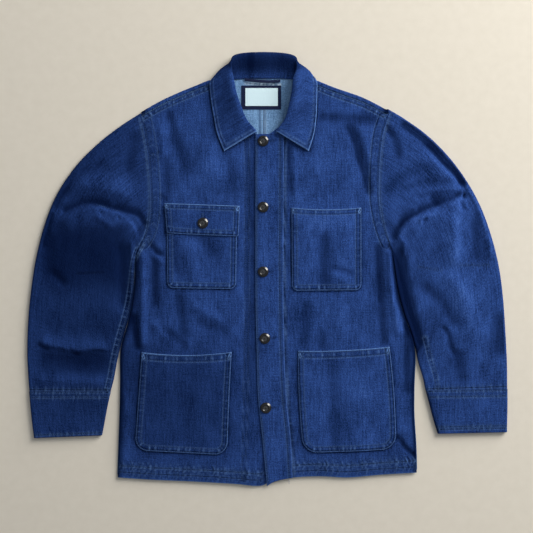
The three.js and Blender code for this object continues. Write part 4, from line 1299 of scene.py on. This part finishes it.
# Sleeves and cuffs
SECTION = "outer_x outer_y inner_x inner_y"
sleeve_sections = {
    "right": table(SECTION, [
        [-234.5, 289, -242.7, 35],
        [-270, 266, -243.5, 24],
        [-310, 235, -244.2, 10],
        [-352, 193, -245.3, -8],
        [-388, 140, -246.6, -32],
        [-411, 84, -249.8, -58],
        [-427, 22, -255, -86],
        [-436, -35, -262.4, -112],
        [-441.5, -90, -270.3, -140],
        [-443.5, -150, -277.5, -170],
        [-442, -190, -283, -200],
        [-439.5, -225, -289.3, -225],
    ]),
    "left": table(SECTION, [
        [224, 296, 231.2, 39],
        [255, 277, 232.4, 24],
        [297, 246, 233.6, 10],
        [338, 204, 235.6, -8],
        [371, 158, 239.3, -32],
        [396, 110, 245, -58],
        [416, 52, 253.1, -86],
        [428, 0, 263.2, -112],
        [435, -55, 271.5, -140],
        [439.5, -120, 277.8, -170],
        [442, -172, 286.8, -200],
        [442.5, -221, 291.6, -223],
    ]),
}
cuff_sections = {
    "right": table(SECTION, [
        [-440, -225.3, -289, -225.3],
        [-437.5, -254, -295, -252],
        [-434.5, -283, -300, -279],
        [-431, -311, -305, -306],
    ]),
    "left": table(SECTION, [
        [443, -221.3, 291.8, -223.3],
        [443, -248, 299, -250],
        [442.5, -275, 306, -277],
        [442, -300, 314, -303],
    ]),
}
# Width of a tube's rounded edge, the widths taken for a sleeve where its points are spaced and
# where its edges move in, and the lengths of sleeve and cuff
TUBE_EDGE = 4.2
SLEEVE_WIDE = 165.0
EDGE_SPAN = 150.0
SLEEVE_LENGTH = 480.0
CUFF_LENGTH = 82.0
# How many sections the armhole's bend reaches, and how far a sleeve keeps off the body
ARMHOLE_REACH = 3.0
ARMHOLE_CLEAR = 0.2
# Painted shade on each sleeve beside the body, in the crevice between them
CREVICE_SHADE = {"right": 0.1, "left": 0.95}


class Tube:
    """A flattened tube through sections: flat below, folds above, its two edges rounded. loft is
    the level of its upper face, wall the thickness of its cloth, rows and under are the folds
    above and below, bent says that it follows the armhole, and fine_ends how far its points are
    close together at the two ends."""

    def __init__(self, half, sections, loft, wall, rows, under, seams, bent, fine_ends):
        self.half, self.loft, self.wall = half, loft, wall
        self.rows, self.under, self.seams, self.bent = rows, under, seams, bent
        self.fine_ends = fine_ends
        self.first = {key: column[0] for key, column in sections.items()}
        self.at, self.last = by_row(sections)

    def place(self, index, share):
        """(x, y) and width of the tube there; at the armhole it bends to follow the body."""
        ox, oy, ix, iy = (self.at[key](index) for key in SECTION.split())
        x, y = mix(ox, ix, share), mix(oy, iy, share)
        width = np.hypot(ox - ix, oy - iy)
        if self.bent:
            chord = mix(self.first["outer_x"], self.first["inner_x"], share)
            height = mix(self.first["outer_y"], self.first["inner_y"], share)
            fade = np.maximum(0, 1 - index / ARMHOLE_REACH) ** 2
            x = x + (self.half.armhole(height) - chord) * fade
        return x + self.half.sign * ARMHOLE_CLEAR, y, width

    def drawn_in(self, share, inset):
        """The share across, moved inwards by inset at the two edges and not at all a tenth in."""
        pull = inset / EDGE_SPAN * (1 - smooth(np.minimum(share, 1 - share) * 10))
        return share + pull * np.sign(0.5 - share)

    def top(self, index, share, inset=0.0):
        """Point on the upper face, or inset below it on the wall's inner side, with its wear and
        painted shade. The folds fade out over the rim."""
        x, y, width = self.place(index, self.drawn_in(share, inset))
        from_edge = np.minimum(share, 1 - share) * width
        folded = fold_height(self.rows, x, y)
        creases = folded * smooth((from_edge - 1) / 8)
        relief, wear, shade = self.seams.relief(x, y)
        level = np.maximum(self.loft + creases + relief * smooth(from_edge / 5), LOWEST_TOP + 0.4)
        z = mix(self.loft / 2, level - inset, rounded(from_edge, TUBE_EDGE))
        from_body = (1 - share) * width
        # Painted shade in the crevice beside the body, which also takes away the wear there
        painted_crevice_shade = 0.5 * bell(from_body, 5) + CREVICE_SHADE[self.half.name] * bell(from_body, 13)
        painted_crevice_shade = painted_crevice_shade * self.crevice(y)
        shade = shade + fold_shade(folded * smooth(from_edge / 5)) - painted_crevice_shade
        return np.stack([x, y, z], -1), wear * np.clip(1 - 1.2 * painted_crevice_shade, 0, 1), shade, width

    def crevice(self, y):
        """How much of the painted crevice shade falls there, from 0 in the open to 1 at the armpit, and
        0.3 everywhere on a tube that does not follow the armhole.
        """
        return smooth((y + 170) / 40) if self.bent else 0.3 + 0 * y

    def bottom(self, index, share, inset=0.0):
        """Point on the underside: flat, with shallow creases that stand off the surface."""
        x, y, width = self.place(index, self.drawn_in(share, inset))
        from_edge = np.minimum(share, 1 - share) * width
        creases = np.maximum(fold_height(self.under, x, y), 0) * smooth((from_edge - 6) / 10)
        z = mix(self.loft / 2, inset + creases, rounded(from_edge, TUBE_EDGE))
        return np.stack([x, y, z], -1), width

    def grids(self, length, across, below):
        """Outer and inner rings: along the top from the outer edge to the inner one, then back
        underneath. The points are closer together on the two rounded edges and at the seams."""
        index = self.last * graded(length, *self.fine_ends)[:, None]
        edge = 1.3 * TUBE_EDGE / EDGE_SPAN
        bend = edge * (1 - np.cos(np.linspace(0, 1, 7) * np.pi / 2))
        inner = mix(edge, 1 - edge, graded(SLEEVE_WIDE, 2, 14, coarse=across))[1:-1]
        flat = np.linspace(edge, 1 - edge, below)[1:-1]
        over = np.concatenate([bend, inner, 1 - bend[::-1]])
        under = np.concatenate([bend[1:], flat, 1 - bend[:0:-1]])[::-1]
        layers = []
        for inset in (0.0, self.wall):
            top, wear, shade, width = self.top(index, over[None, :], inset)
            low, _ = self.bottom(index, under[None, :], inset)
            layers.append(np.concatenate([top, low], axis=1))
            if not inset:
                plain = np.zeros(low.shape[:2])
                # The fade value here is the painted shade of the upper face; the underside gets none
                values = {"wear": np.concatenate([wear, plain], axis=1),
                          "fade": np.concatenate([shade, plain], axis=1)}
                around = np.concatenate([over, 2 - under])[None, :] * width
        along = lengths_along(layers[0].mean(axis=1))
        uv = np.stack([around, np.broadcast_to(-along[:, None], around.shape)], -1)
        return layers, uv, values


def tube_faces(rings, around):
    """Quads of an outer and an inner tube, joined at their two ends."""
    ids = np.arange(rings * around).reshape(rings, around)
    after = np.roll(ids, -1, axis=1)
    side = ring_quads(ids)
    count = rings * around
    start = np.column_stack([ids[0], ids[0] + count, after[0] + count, after[0]])
    end = np.column_stack([ids[-1], after[-1], after[-1] + count, ids[-1] + count])
    return np.concatenate([side, side[:, ::-1] + count, start, end]), len(side)


def make_tube(name, tube, length, across, below, looks):
    """A sleeve or cuff as one closed wall: its points about across apart on the upper face, and
    below of them underneath."""
    (outer, inner), uv, values = tube.grids(length, across, below)
    faces, count = tube_faces(*outer.shape[:2])
    points = np.concatenate([outer.reshape(-1, 3), inner.reshape(-1, 3)])
    look = np.zeros(len(faces), int)
    look[count:2 * count] = len(looks) - 1
    values["fade"] = toned(fade_and_painted_light_at(outer[..., 0], outer[..., 1]), values["fade"])
    values = {key: np.tile(value.ravel(), 2) for key, value in values.items()}
    uv = np.tile(uv.reshape(-1, 2), (2, 1))
    made = make_object(f"{name}_cloth", points, facing_out(points, faces), uv, looks, values, look)
    return stand_for(made, name)


def row_places(row, count=60, shift=0.0):
    """Section numbers and shares across, evenly from a row's start to its end."""
    begin, share, end, end_share = row
    t = np.linspace(0, 1, count)
    return mix(begin, end, t), mix(share, end_share, t) + shift


def tube_path(tube, row):
    """A row's path over a tube's upper face."""
    x, y, _ = tube.place(*row_places(row))
    return np.column_stack([x, y])


under_folds = {
    "right": table(FOLD, [
        [-290, 170, -390, 90, 8, 12, 9, 1.2],
        [-290, 60, -400, 20, -8, 9, 14, 1.4],
        [-310, -20, -400, -60, 6, 12, 12, 1.0],
        [-310, -140, -420, -160, 6, 9, 12, 1.3],
    ]),
    "left": table(FOLD, [
        [270, 190, 350, 130, -8, 12, 9, 1.2],
        [270, 80, 380, 60, 8, 9, 14, 1.4],
        [300, -10, 400, -60, -6, 12, 12, 1.0],
        [320, -130, 420, -160, -6, 9, 12, 1.3],
    ]),
}
NO_FOLDS = table(FOLD, [[0, 0, 1, 0, 0, 1, 1, 0]])
# Rows over a tube: section number and share across at the start, then at the end
UNDERARM = {"right": (0.6, 0.965, 10.9, 0.95), "left": (7.9, 0.88, 10.9, 0.845)}
ARMHOLE_ROW = (0.12, 0.03, 0.12, 0.95)
SLEEVE_END_ROW = (10.9, 0.01, 10.9, 0.99)
CUFF_ROWS = {
    "right": [(3 * share, 0.012, 3 * share, 0.988) for share in (0.02, 0.13, 0.94)],
    "left": [(3 * share, 0.012, 3 * share, 0.988) for share in (0.02, 0.15, 0.84, 0.90)],
}
elbow_rows = {
    "right": [line([(-350, -7), (-303, -5)])],
    "left": [line([(279, 5), (320, -1.5)]), line([(354, 8), (409, 8)])],
}
ELBOW_WEAR = {"right": 0.03, "left": 0.2}

sleeves, cuffs, sleeve_tubes, cuff_tubes = {}, {}, {}, {}
for half in HALVES:
    name = half.name
    seams = Seams()
    tube = Tube(half, sleeve_sections[name], SLEEVE_LOFT, CLOTH,
                folds[f"{name}_sleeve"], under_folds[name], seams, True, (4, 14))
    seams.add(tube_path(tube, ARMHOLE_ROW), groove=0.5, pucker=0.6, reach=5)
    seams.add(tube_path(tube, UNDERARM[name]), groove=0.4, pucker=0.45, reach=5, spread=2.5)
    seams.add(tube_path(tube, SLEEVE_END_ROW), groove=0.6, pucker=0.8, reach=6, wear=0.35)
    for row in elbow_rows[name]:
        seams.add(row, groove=0.2, pucker=0, reach=2, wear=ELBOW_WEAR[name])
    sleeve_tubes[name] = tube
    sleeves[name] = make_tube(f"sleeve_{name}", tube, SLEEVE_LENGTH, 2.6, 22, DENIM)
    seams = Seams()
    tube = Tube(half, cuff_sections[name], CUFF_LOFT, DOUBLE_CLOTH,
                NO_FOLDS, NO_FOLDS, seams, False, (14, 16))
    for row in CUFF_ROWS[name]:
        seams.add(tube_path(tube, row), groove=0.4, pucker=0.5, reach=4, wear=0.4)
    cuff_tubes[name] = tube
    cuffs[name] = make_tube(f"cuff_{name}", tube, CUFF_LENGTH, 2.4, 24, BOTH_FACES)


# Collar
collar = table("n_out n_y n_z r_out r_y r_z a_z c_z m_out m_y m_z l_out l_y l_z lean", [
    [0, 352.5, 2.6, 0, 400, 7.5, 13.4, 1.6, 0, 384, 1.0, 0, 361, 1.0, 0],
    [28, 352.5, 2.6, 28, 399, 7.5, 13.4, 1.6, 28, 383, 1.0, 26, 361, 1.0, 0],
    [48, 351.5, 2.8, 48, 396, 8, 14, 1.8, 48, 380, 1.0, 45, 361, 1.0, 1],
    [67, 350, 3.2, 57, 390, 11, 16, 5, 58, 378, 2.4, 60, 361, 1.1, 3],
    [78, 346, 5.0, 58, 379, 17, 17, 14, 72, 373, 6.5, 74, 359, 1.2, 3],
    [84, 338, 7.4, 57, 365, 19.5, 16.5, 20.5, 84, 361, 11.5, 90, 355, 3.0, 3],
    [83, 328, 7.6, 54.5, 352, 19.5, 16, 22.5, 78, 349, 17, 98, 345, 9.6, 1],
    [77, 313.5, 7.6, 51.5, 336, 19.5, 16, 22.5, 76, 332, 16, 97.5, 327, 8.6, 2],
    [67.5, 298, 7.6, 47, 318, 18.5, 15.5, 21, 73, 312, 14.5, 95, 305, 8.2, 4],
    [54, 283, 7.6, 39.5, 298, 16.5, 14, 18.8, 67, 289, 13, 91, 282, 8.2, 7],
    [35, 267.5, 7.8, 30.5, 276, 14, 12, 16, 60, 263, 11.6, 85, 251, 8.2, 9],
    [11, 250.5, 8.2, 12, 254, 10.4, 9.4, 12, 42, 236, 10.6, 72, 218, 8.2, 12],
])
ROLL_RADIUS = 6.0
COLLAR_STATIONS = 100
COLLAR_STEPS = 12


def chord_spline(points, steps):
    """A smooth curve through each row of control points (rows, n, 3): cubic pieces whose speed
    follows the square root of the distance between neighbours, steps to a piece."""
    first = 2 * points[:, :1] - points[:, 1:2]
    last = 2 * points[:, -1:] - points[:, -2:-1]
    padded = np.concatenate([first, points, last], axis=1)
    pieces = []
    for i in range(points.shape[1] - 1):
        p0, p1, p2, p3 = (padded[:, i + k] for k in range(4))
        chords = (p1 - p0, p2 - p1, p3 - p2)
        d0, d1, d2 = (np.sqrt(np.linalg.norm(chord, axis=1))[:, None] for chord in chords)
        t1 = ((p1 - p0) / d0 - (p2 - p0) / (d0 + d1) + (p2 - p1) / d1) * d1
        t2 = ((p2 - p1) / d1 - (p3 - p1) / (d1 + d2) + (p3 - p2) / d2) * d1
        t = np.linspace(0, 1, steps + 1)[:-1, None, None]
        shape = (1 + t * t * (2 * t - 3)) * p1 + t * t * (3 - 2 * t) * p2
        shape = shape + t * (1 - t) * ((1 - t) * t1 - t * t2)
        pieces.append(shape.transpose(1, 0, 2))
    return np.concatenate([*pieces, points[:, -1:]], axis=1)


def collar_middle():
    """Middle of the collar's wall: one section a row, from neck seam over the roll to the leaf's
    free edge."""
    at, last = by_row(collar)
    station = np.linspace(-1, 1, 2 * COLLAR_STATIONS + 1)
    index = np.abs(station) * last
    sign = np.where(station < 0, -1.0, 1.0)
    lean = np.where(sign > 0, at["lean"](index), 0)

    def point(name):
        out = CENTRE_BACK + sign * (at[f"{name}_out"](index) + lean)
        return np.stack([out, at[f"{name}_y"](index), at[f"{name}_z"](index)], -1)

    seam, roll, middle, edge = (point(name) for name in "nrml")
    radius = np.minimum(ROLL_RADIUS, 0.35 * np.linalg.norm(seam - roll, axis=1))[:, None]

    def near_roll(target, height):
        toward = (target - roll) * (1, 1, 0)
        toward = toward / np.linalg.norm(toward, axis=1)[:, None]
        place = roll + toward * radius
        place[:, 2] = height
        return place

    controls = np.stack([seam, near_roll(seam, at["a_z"](index)), roll,
                         near_roll(middle, at["c_z"](index)), middle, edge], axis=1)
    return chord_spline(controls, COLLAR_STEPS)


# Distance of the stitch row from the leaf's edge
COLLAR_ROW = 5.0


def lengths_over(grid, axis):
    """The length along each row or column of a grid up to each of its points."""
    return running(np.linalg.norm(np.diff(grid, axis=axis), axis=2), axis)


def make_collar():
    """The collar and the grid of its face. It is puckered along its stitch row and rubbed at its
    edges, and nothing of it reaches below the surface."""
    middle = collar_middle()
    normal = grid_normals(middle)
    from_edge = lengths_over(middle[:, ::-1], 1)[:, ::-1]
    from_seam = from_edge[:, :1] - from_edge
    along = lengths_over(middle, 0)
    from_end = np.minimum(along, along[-1] - along)
    distance = np.minimum(from_edge, from_end)
    arc = np.where(from_edge < from_end, along, from_edge)
    waves = ripple(arc, 3.0)
    from_row = distance - COLLAR_ROW
    relief = 0.4 * waves * bell(from_row, 5) - 0.5 * bell(from_row, ROW_WIDE)
    worn = bell(distance, 1.4) + 0.5 * bell(from_row - 2, 1.2) * (0.5 + 0.5 * waves)
    # Painted shade in the stitch row's groove
    painted_row_shade = -ROW_SHADE * bell(from_row, 1.3)
    middle = middle + normal * (relief * smooth(distance / 1.5))[..., None]
    half = DOUBLE_CLOTH / 2
    middle[..., 2] = np.maximum(middle[..., 2], half + 0.05)
    uv = np.stack([along, from_seam], -1)
    values = cloth_values(middle[..., 0], middle[..., 1], worn, painted_row_shade)
    face = middle + normal * half
    return cloth("collar", face, DOUBLE_CLOTH, BOTH_FACES, values, uv), face


collar_cloth, collar_face = make_collar()


# Inside the neck
PATCH_THICK = 1.0
LABEL_THICK = 0.7
LABEL_LEVEL = LAYER + PATCH_THICK + SEAM_GAP


def flat_patch(node_name, box, bottom, thickness, look, wave):
    """A small flat cloth from left to right and from low to high, pressed in along the row it is
    sewn on by, and gently rippled there."""
    left, right, low, high = box
    x, y = np.meshgrid(np.linspace(left, right, 40), np.linspace(low, high, 28))
    edge = np.minimum(np.minimum(x - left, right - x), np.minimum(y - low, high - y)) - 2
    z = bottom + thickness + wave * ripple(x + y, 2.0) * bell(edge, 3) - 0.25 * bell(edge, 0.9)
    grid = np.stack([x, y, z], -1)
    return cloth(node_name, grid, thickness, (look,), cloth_values(x, y, 0 * x), rim=0.5)


patch_cloth = flat_patch("neck_patch", (-48, 25, 296, 340), LAYER, PATCH_THICK,
                         PATCH, 0.25)
label_cloth = flat_patch("neck_label", (-41, 19, 302, 335), LABEL_LEVEL, LABEL_THICK,
                         LABEL, 0.15)


LOOP_THICK = 1.1
LOOP_WIDE = 5.0


def make_loop():
    """A narrow band that sags between its two ends and arches off the cloth."""
    t = np.linspace(0, 1, 60)[:, None]
    side = np.linspace(-0.5, 0.5, 7)[None, :]
    arch = np.sin(np.pi * t)
    x = mix(-42, 24, t) + 0 * side
    y = mix(351, 348, t) - 2.5 * arch + LOOP_WIDE * side
    z = 3.0 + 2.4 * arch + 0.3 * (1 - 4 * side ** 2)
    grid = np.stack([x, y, z], -1)
    values = cloth_values(x, y, 0 * x)
    return cloth("hanger_loop", grid, LOOP_THICK, (PATCH,), values, rim=0.4)


loop_cloth = make_loop()


# Buttons
button_profile = table("radius height", [
    [0.0, 0.0], [6.0, 0.0], [9.0, 0.1], [9.9, 0.5], [10.0, 0.9], [9.7, 1.35], [9.0, 1.85], [8.2, 2.4],
    [7.4, 2.95], [6.7, 3.35], [6.1, 3.3], [5.6, 2.5], [5.2, 1.9], [4.5, 1.7], [3.0, 1.6], [1.6, 1.65],
    [0.9, 1.9], [0.0, 1.95],
])


BUTTON_RINGS = 42
BUTTON_SIDES = 56
CLOSING_DISC = 0.02


def make_button(node_name, place, lift):
    """The profile, smoothed by a cubic through its points, turned round the button's axis. Its
    two ends close in small discs round the axis. It stands lift above its solid's lowest point."""
    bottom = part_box(node_name)[0][2] / MM + lift
    at, last = by_row(button_profile)
    steps = np.linspace(0, last, BUTTON_RINGS)
    radius = np.maximum(at["radius"](steps), 0)
    radius[[0, -1]] = CLOSING_DISC
    angle = np.linspace(0, 2 * np.pi, BUTTON_SIDES, endpoint=False)
    x = place[0] + radius[:, None] * np.cos(angle)
    y = place[1] + radius[:, None] * np.sin(angle)
    z = bottom + at["height"](steps)[:, None] + 0 * x
    points = np.stack([x, y, z], -1).reshape(-1, 3)
    ids = np.arange(x.size).reshape(x.shape)
    quads = ring_quads(ids).tolist() + [ids[0, ::-1].tolist(), ids[-1].tolist()]
    name = f"{node_name}_turned"
    mesh = bpy.data.meshes.new(name)
    mesh.from_pydata((points * MM).tolist(), [], quads)
    mesh.materials.append(BUTTON)
    mesh.polygons.foreach_set("use_smooth", np.ones(len(quads), bool))
    mesh.update()
    stand_for(in_scene(name, mesh), node_name)


for i, place in enumerate(BUTTON_PLACES):
    make_button(f"front_button_{i + 1}", place, 0.2)
make_button("flap_button", (-119, 85.5), 0.6)


# Stitches
STITCH = 3.2
PITCH = 4.2
THREAD_WIDE = 0.55
THREAD_HIGH = 0.42
# How high a stitch's middle stands off the cloth, and how many places a path has to a pitch
THREAD_LIFT = 0.12
PLACES = 6
# Where one stitch runs: length along it, across it and above it, as shares
STITCH_SHAPE = np.array([
    [-0.5, 0, -0.4],
    [-0.32, -0.5, 0], [-0.32, 0, 0.6], [-0.32, 0.5, 0], [-0.32, 0, -0.6],
    [0.32, -0.5, 0], [0.32, 0, 0.6], [0.32, 0.5, 0], [0.32, 0, -0.6],
    [0.5, 0, -0.4],
])


def dressed_path(path, level):
    """A flat path with its height, from a function of x and y."""
    return np.column_stack([path, level(*path.T)])


def stitch_triangles():
    """Triangles of one stitch: its first tip, four sides between two squares, its last tip."""
    triangles = []
    for k in range(4):
        after = (k + 1) % 4
        near, near_after, far, far_after = 1 + k, 1 + after, 5 + k, 5 + after
        triangles += [[near, near_after, far_after], [near, far_after, far]]
        triangles += [[0, near_after, near], [9, far, far_after]]
    return np.array(triangles)


def make_stitches(name, paths):
    """Short threads along each path: a four-sided bar that tapers to a point at both ends, partly
    sunk in the cloth, one every PITCH."""
    starts, ends = [], []
    for path in paths:
        fine = on_path(path, np.arange(0, lengths_along(path)[-1], PITCH / PLACES))
        first = PLACES * np.arange((len(fine) - PLACES) // PLACES)
        starts.append(fine[first])
        ends.append(fine[first + round(PLACES * STITCH / PITCH)])
    start, end = np.concatenate(starts), np.concatenate(ends)
    along = end - start
    length = np.linalg.norm(along, axis=1)[:, None]
    along = along / np.maximum(length, 1e-6)
    side = np.cross(along, (0, 0, 1.0))
    side /= np.maximum(np.linalg.norm(side, axis=1)[:, None], 1e-6)
    up = np.cross(side, along)
    middle = (start + end) / 2
    run, out, rise = STITCH_SHAPE[None, :, :, None].transpose(2, 0, 1, 3)
    points = (middle[:, None] + run * (length * along)[:, None]
              + out * THREAD_WIDE * side[:, None]
              + (rise * THREAD_HIGH + THREAD_LIFT) * up[:, None])
    count = len(STITCH_SHAPE)
    faces = stitch_triangles()[None] + count * np.arange(len(middle))[:, None, None]
    flat = np.tile(STITCH_SHAPE[:, :2], (len(middle), 1)) * 3 + np.repeat(middle[:, :2], count, axis=0)
    made = make_object(name, points.reshape(-1, 3), faces.reshape(-1, 3)[:, ::-1], flat, (THREAD,))


def on_front(half):
    """The height of a front's upper face, as a function of x and y."""
    return lambda x, y: front_top(half, x, y)[0]


for half in HALVES:
    hem_ends = (-274, -6) if half is RIGHT else (2, 273)
    paths = [height_path(half, 1.0, 48, 284), height_path(half, 15.0, 52, 276),
             shoulder_path(half, 2.0), shoulder_path(half, 8.0), hem_path(half, HEM_DEPTH, *hem_ends)]
    if half is RIGHT:
        paths += [FACING_ROW, beside(FACING_ROW, 6.0)]
    rows = [dressed_path(path, on_front(half)) for path in paths]
    make_stitches(f"front_{half.name}_stitches", rows)


def on_placket(x, y):
    """The height of the placket's upper face."""
    return placket_top(x, y)[0]


rows = [dressed_path(path, on_placket) for path in (placket_path(7.0), EDGE_ROW)]
make_stitches("placket_stitches", rows)

# How far a pocket's stitches lie above the front's layer
ROW_LIFT = 0.45
for name, pocket in [*pockets.items(), ("chest_pocket_flap", flap)]:
    lift = LAYER + ROW_LIFT + (FLAP_LIFT if pocket is flap else 0.0)
    outline = pocket_outline(pocket)
    shares = np.linspace(0.03, 0.97, 60)
    paths = [beside(outline, distance) for distance in EDGE_ROWS]
    paths += [top_hem_path(pocket, below, shares) for below in TOP_HEM[name]]

    def on_pocket(x, y):
        return front_level(pocket["half"], x, y) + lift

    make_stitches(f"{name}_stitches", [dressed_path(path, on_pocket) for path in paths])


def row_on(tube, row, shift=0.0):
    """A row's path on a tube's upper face, with its height."""
    return tube.top(*row_places(row, 200, shift))[0]


for name in ("right", "left"):
    tube = sleeve_tubes[name]
    rows = [row_on(tube, ARMHOLE_ROW)]
    rows += [row_on(tube, UNDERARM[name], shift) for shift in (-0.015, 0.015)]
    make_stitches(f"sleeve_{name}_stitches", rows)
    make_stitches(f"cuff_{name}_stitches", [row_on(cuff_tubes[name], row) for row in CUFF_ROWS[name]])


def inside_edge(grid, distance):
    """Path at a set distance from a grid's first row, one point a column, by interpolation
    between the two rows on either side of it."""
    reach = lengths_over(grid, 0)
    place = np.array([np.interp(distance, column, np.arange(len(column))) for column in reach.T])
    row = np.clip(np.floor(place).astype(int), 0, len(grid) - 2)
    column = np.arange(len(row))
    return mix(grid[row, column], grid[row + 1, column], (place - row)[:, None])


# The collar's rows: beside the leaf's free edge, and the leaf's half of the two front edges
free_edge = inside_edge(collar_face.transpose(1, 0, 2)[::-1], COLLAR_ROW)
front_edges = [inside_edge(grid, COLLAR_ROW) for grid in (collar_face, collar_face[::-1])]
make_stitches("collar_stitches", [free_edge[2:-2]] + [path[len(path) // 2:-1] for path in front_edges])


# Buttonholes
def buttonhole(place, length, upright=False, bars=46):
    """Starts and ends of thread bars packed round a slot, each across the slot's edge. t runs
    once round it: along one side, over one end, back along the other side and over the other."""
    t = np.linspace(0, 1, bars, endpoint=False)
    half = length / 2
    corners = [0, 0.44, 0.5, 0.94, 1.0]
    along = np.interp(t, corners, [-half, half, half, -half, -half])
    away = np.interp(t, corners, [1.2, 1.2, -1.2, -1.2, 1.2])
    starts = np.column_stack([along, 0.45 * np.sign(away), 0 * t])
    ends = np.column_stack([along + 0.2, 1.5 * away, 0 * t])
    if upright:
        starts, ends = starts[:, [1, 0, 2]], ends[:, [1, 0, 2]]
    return np.stack([starts + place, ends + place])


def make_buttonholes():
    """All buttonholes as one mesh of thread bars, each a box between its two ends."""
    holes = []
    for x, y in BUTTON_PLACES:
        top = on_placket(np.array([x + 14.0]), np.array([float(y)]))[0]
        holes.append(buttonhole((x + 9.0, y, top), 20.0))
    top = front_level(RIGHT, np.array([-119.0]), np.array([92.0]))[0] + 2 * LAYER + 1.0
    holes.append(buttonhole((-119, 95, top), 18.0, upright=True))
    start, end = np.concatenate(holes, axis=1)
    along = (end - start) / np.linalg.norm(end - start, axis=1)[:, None]
    side = np.cross(along, (0, 0, 1.0)) * 0.28
    corners = np.stack([start - side, start + side, end + side, end - side], axis=1)
    points = np.concatenate([corners, corners + (0, 0, 0.45)], axis=1)
    box = np.array([[4, 5, 6, 7], [0, 4, 7, 3], [1, 2, 6, 5], [0, 1, 5, 4], [3, 7, 6, 2], [0, 3, 2, 1]])
    faces = (box[None] + 8 * np.arange(len(start))[:, None, None]).reshape(-1, 4)
    points = points.reshape(-1, 3)
    made = make_object("buttonholes", points, faces, points[:, :2], (THREAD,))


make_buttonholes()


# Floor, light
def make_floor():
    """A pale matt surface a little below the jacket, 12 m across."""
    material, tree, shader = recipe("pale_floor")
    place = node(tree, "ShaderNodeTexCoord").outputs["Object"]
    grain = node(tree, "ShaderNodeTexNoise", None, Vector=place, Scale=60.0, Detail=4.0).outputs[0]
    tone = colour_mix(tree, grain, (0.69, 0.64, 0.55, 1), (0.76, 0.71, 0.62, 1))
    tree.links.new(tone, shader.inputs["Base Color"])
    set_sockets(shader, Roughness=0.95)
    mesh = bpy.data.meshes.new("floor")
    reach = 6.0
    corners = [(-reach, -reach, 0), (reach, -reach, 0), (reach, reach, 0), (-reach, reach, 0)]
    mesh.from_pydata(corners, [], [(0, 1, 2, 3)])
    mesh.materials.append(material)
    floor = bpy.data.objects.new("floor", mesh)
    floor.location.z = -0.0003
    SCENE.collection.objects.link(floor)


def make_light(name, place, target, size, power, colour):
    """A square area light that looks at target. Lengths are in metres here."""
    data = bpy.data.lights.new(name, "AREA")
    data.shape = "SQUARE"
    data.size = size
    data.energy = power
    data.color = colour
    light = bpy.data.objects.new(name, data)
    light.location = place
    direction = Vector(target) - Vector(place)
    light.rotation_euler = direction.to_track_quat("-Z", "Y").to_euler()
    SCENE.collection.objects.link(light)


make_floor()
make_light("window", (2.5, 2.2, 1.45), (0.0, 0.0, 0.0), 2.3, 218.0, (1.0, 0.97, 0.92))
make_light("room", (0.4, 0.3, 2.6), (0.0, 0.0, 0.0), 2.4, 9.0, (0.88, 0.94, 1.0))
world = bpy.data.worlds.new("world")
world.use_nodes = True
world.node_tree.nodes["Background"].inputs[0].default_value = (0.93, 0.96, 1.0, 1)
world.node_tree.nodes["Background"].inputs[1].default_value = 0.22
SCENE.world = world
SCENE.view_settings.view_transform = "Standard"


# Laid sheets. The rectangle is the smallest that holds the cut. The area is worked out from the
# flat outline alone, with no fold, thickness or seam in it, and never from the finished mesh.
def flat_area(x, y):
    """Area of a flat grid in square metres, by the shoelace formula round its border."""
    bx, by = border(x) * MM, border(y) * MM
    return abs(np.sum(bx * np.roll(by, -1) - by * np.roll(bx, -1))) / 2


def front_area(half):
    """The front as it lies, from its edge or the overlap's end to the side."""
    return flat_area(*np.moveaxis(front_places(half), -1, 0))


# Length of a shoulder seam, outside the collar
SHOULDER_SEAM = 140.0


def back_area(half):
    """The flat part, and the strip that turns over the shoulder."""
    x, y, _ = np.moveaxis(back_places(half, turn_rows=0), -1, 0)
    return flat_area(x, y) + TURNED_STRIP * SHOULDER_SEAM * MM ** 2


def tube_area(tube, length):
    """All round: twice the outline, and half the loft more at each edge of either face."""
    index = np.linspace(0, tube.last, 60)[:, None]
    x, y, _ = tube.place(index, np.linspace(0, 1, 40)[None, :])
    return 2 * flat_area(x, y + 0 * x) + tube.loft * length * MM ** 2


# Mean length and width of the collar, from its table of sections
COLLAR_MEAN = (0.432, 0.082)
POCKET_CUTS = {
    "chest_pocket_right": (0.135, 0.145),
    "chest_pocket_left": (0.135, 0.155),
    "hip_pocket_right": (0.18, 0.195),
    "hip_pocket_left": (0.18, 0.195),
}
CUFF_CUTS = {"right": (0.30, 0.086), "left": (0.30, 0.082)}


def declare(flat, area=None):
    """Works out a laid sheet's area: its rectangle's, width times length, unless given. Nothing is done
    with it.
    """
    area = math.prod(flat) if area is None else area


for half in HALVES:
    name = half.name
    declare((0.34, 0.76), front_area(half))
    declare((0.29, 0.76), back_area(half))
    declare((0.46, 0.56), tube_area(sleeve_tubes[name], SLEEVE_LENGTH))
    declare(CUFF_CUTS[name], tube_area(cuff_tubes[name], CUFF_LENGTH))
for name, flat in POCKET_CUTS.items():
    declare(flat, flat_area(*pocket_grid(pockets[name])))
declare((0.14, 0.06), flat_area(*pocket_grid(flap)))
declare((0.053, 0.66), PLACKET_WIDE * BODY_LENGTH * MM ** 2)
declare((0.56, 0.092), math.prod(COLLAR_MEAN))
declare((0.073, 0.044))
declare((0.060, 0.033))
# The band is so narrow that its edge counts: half of what goes round it
declare((0.067, 0.010), 0.067 * (LOOP_WIDE + LOOP_THICK) * MM)
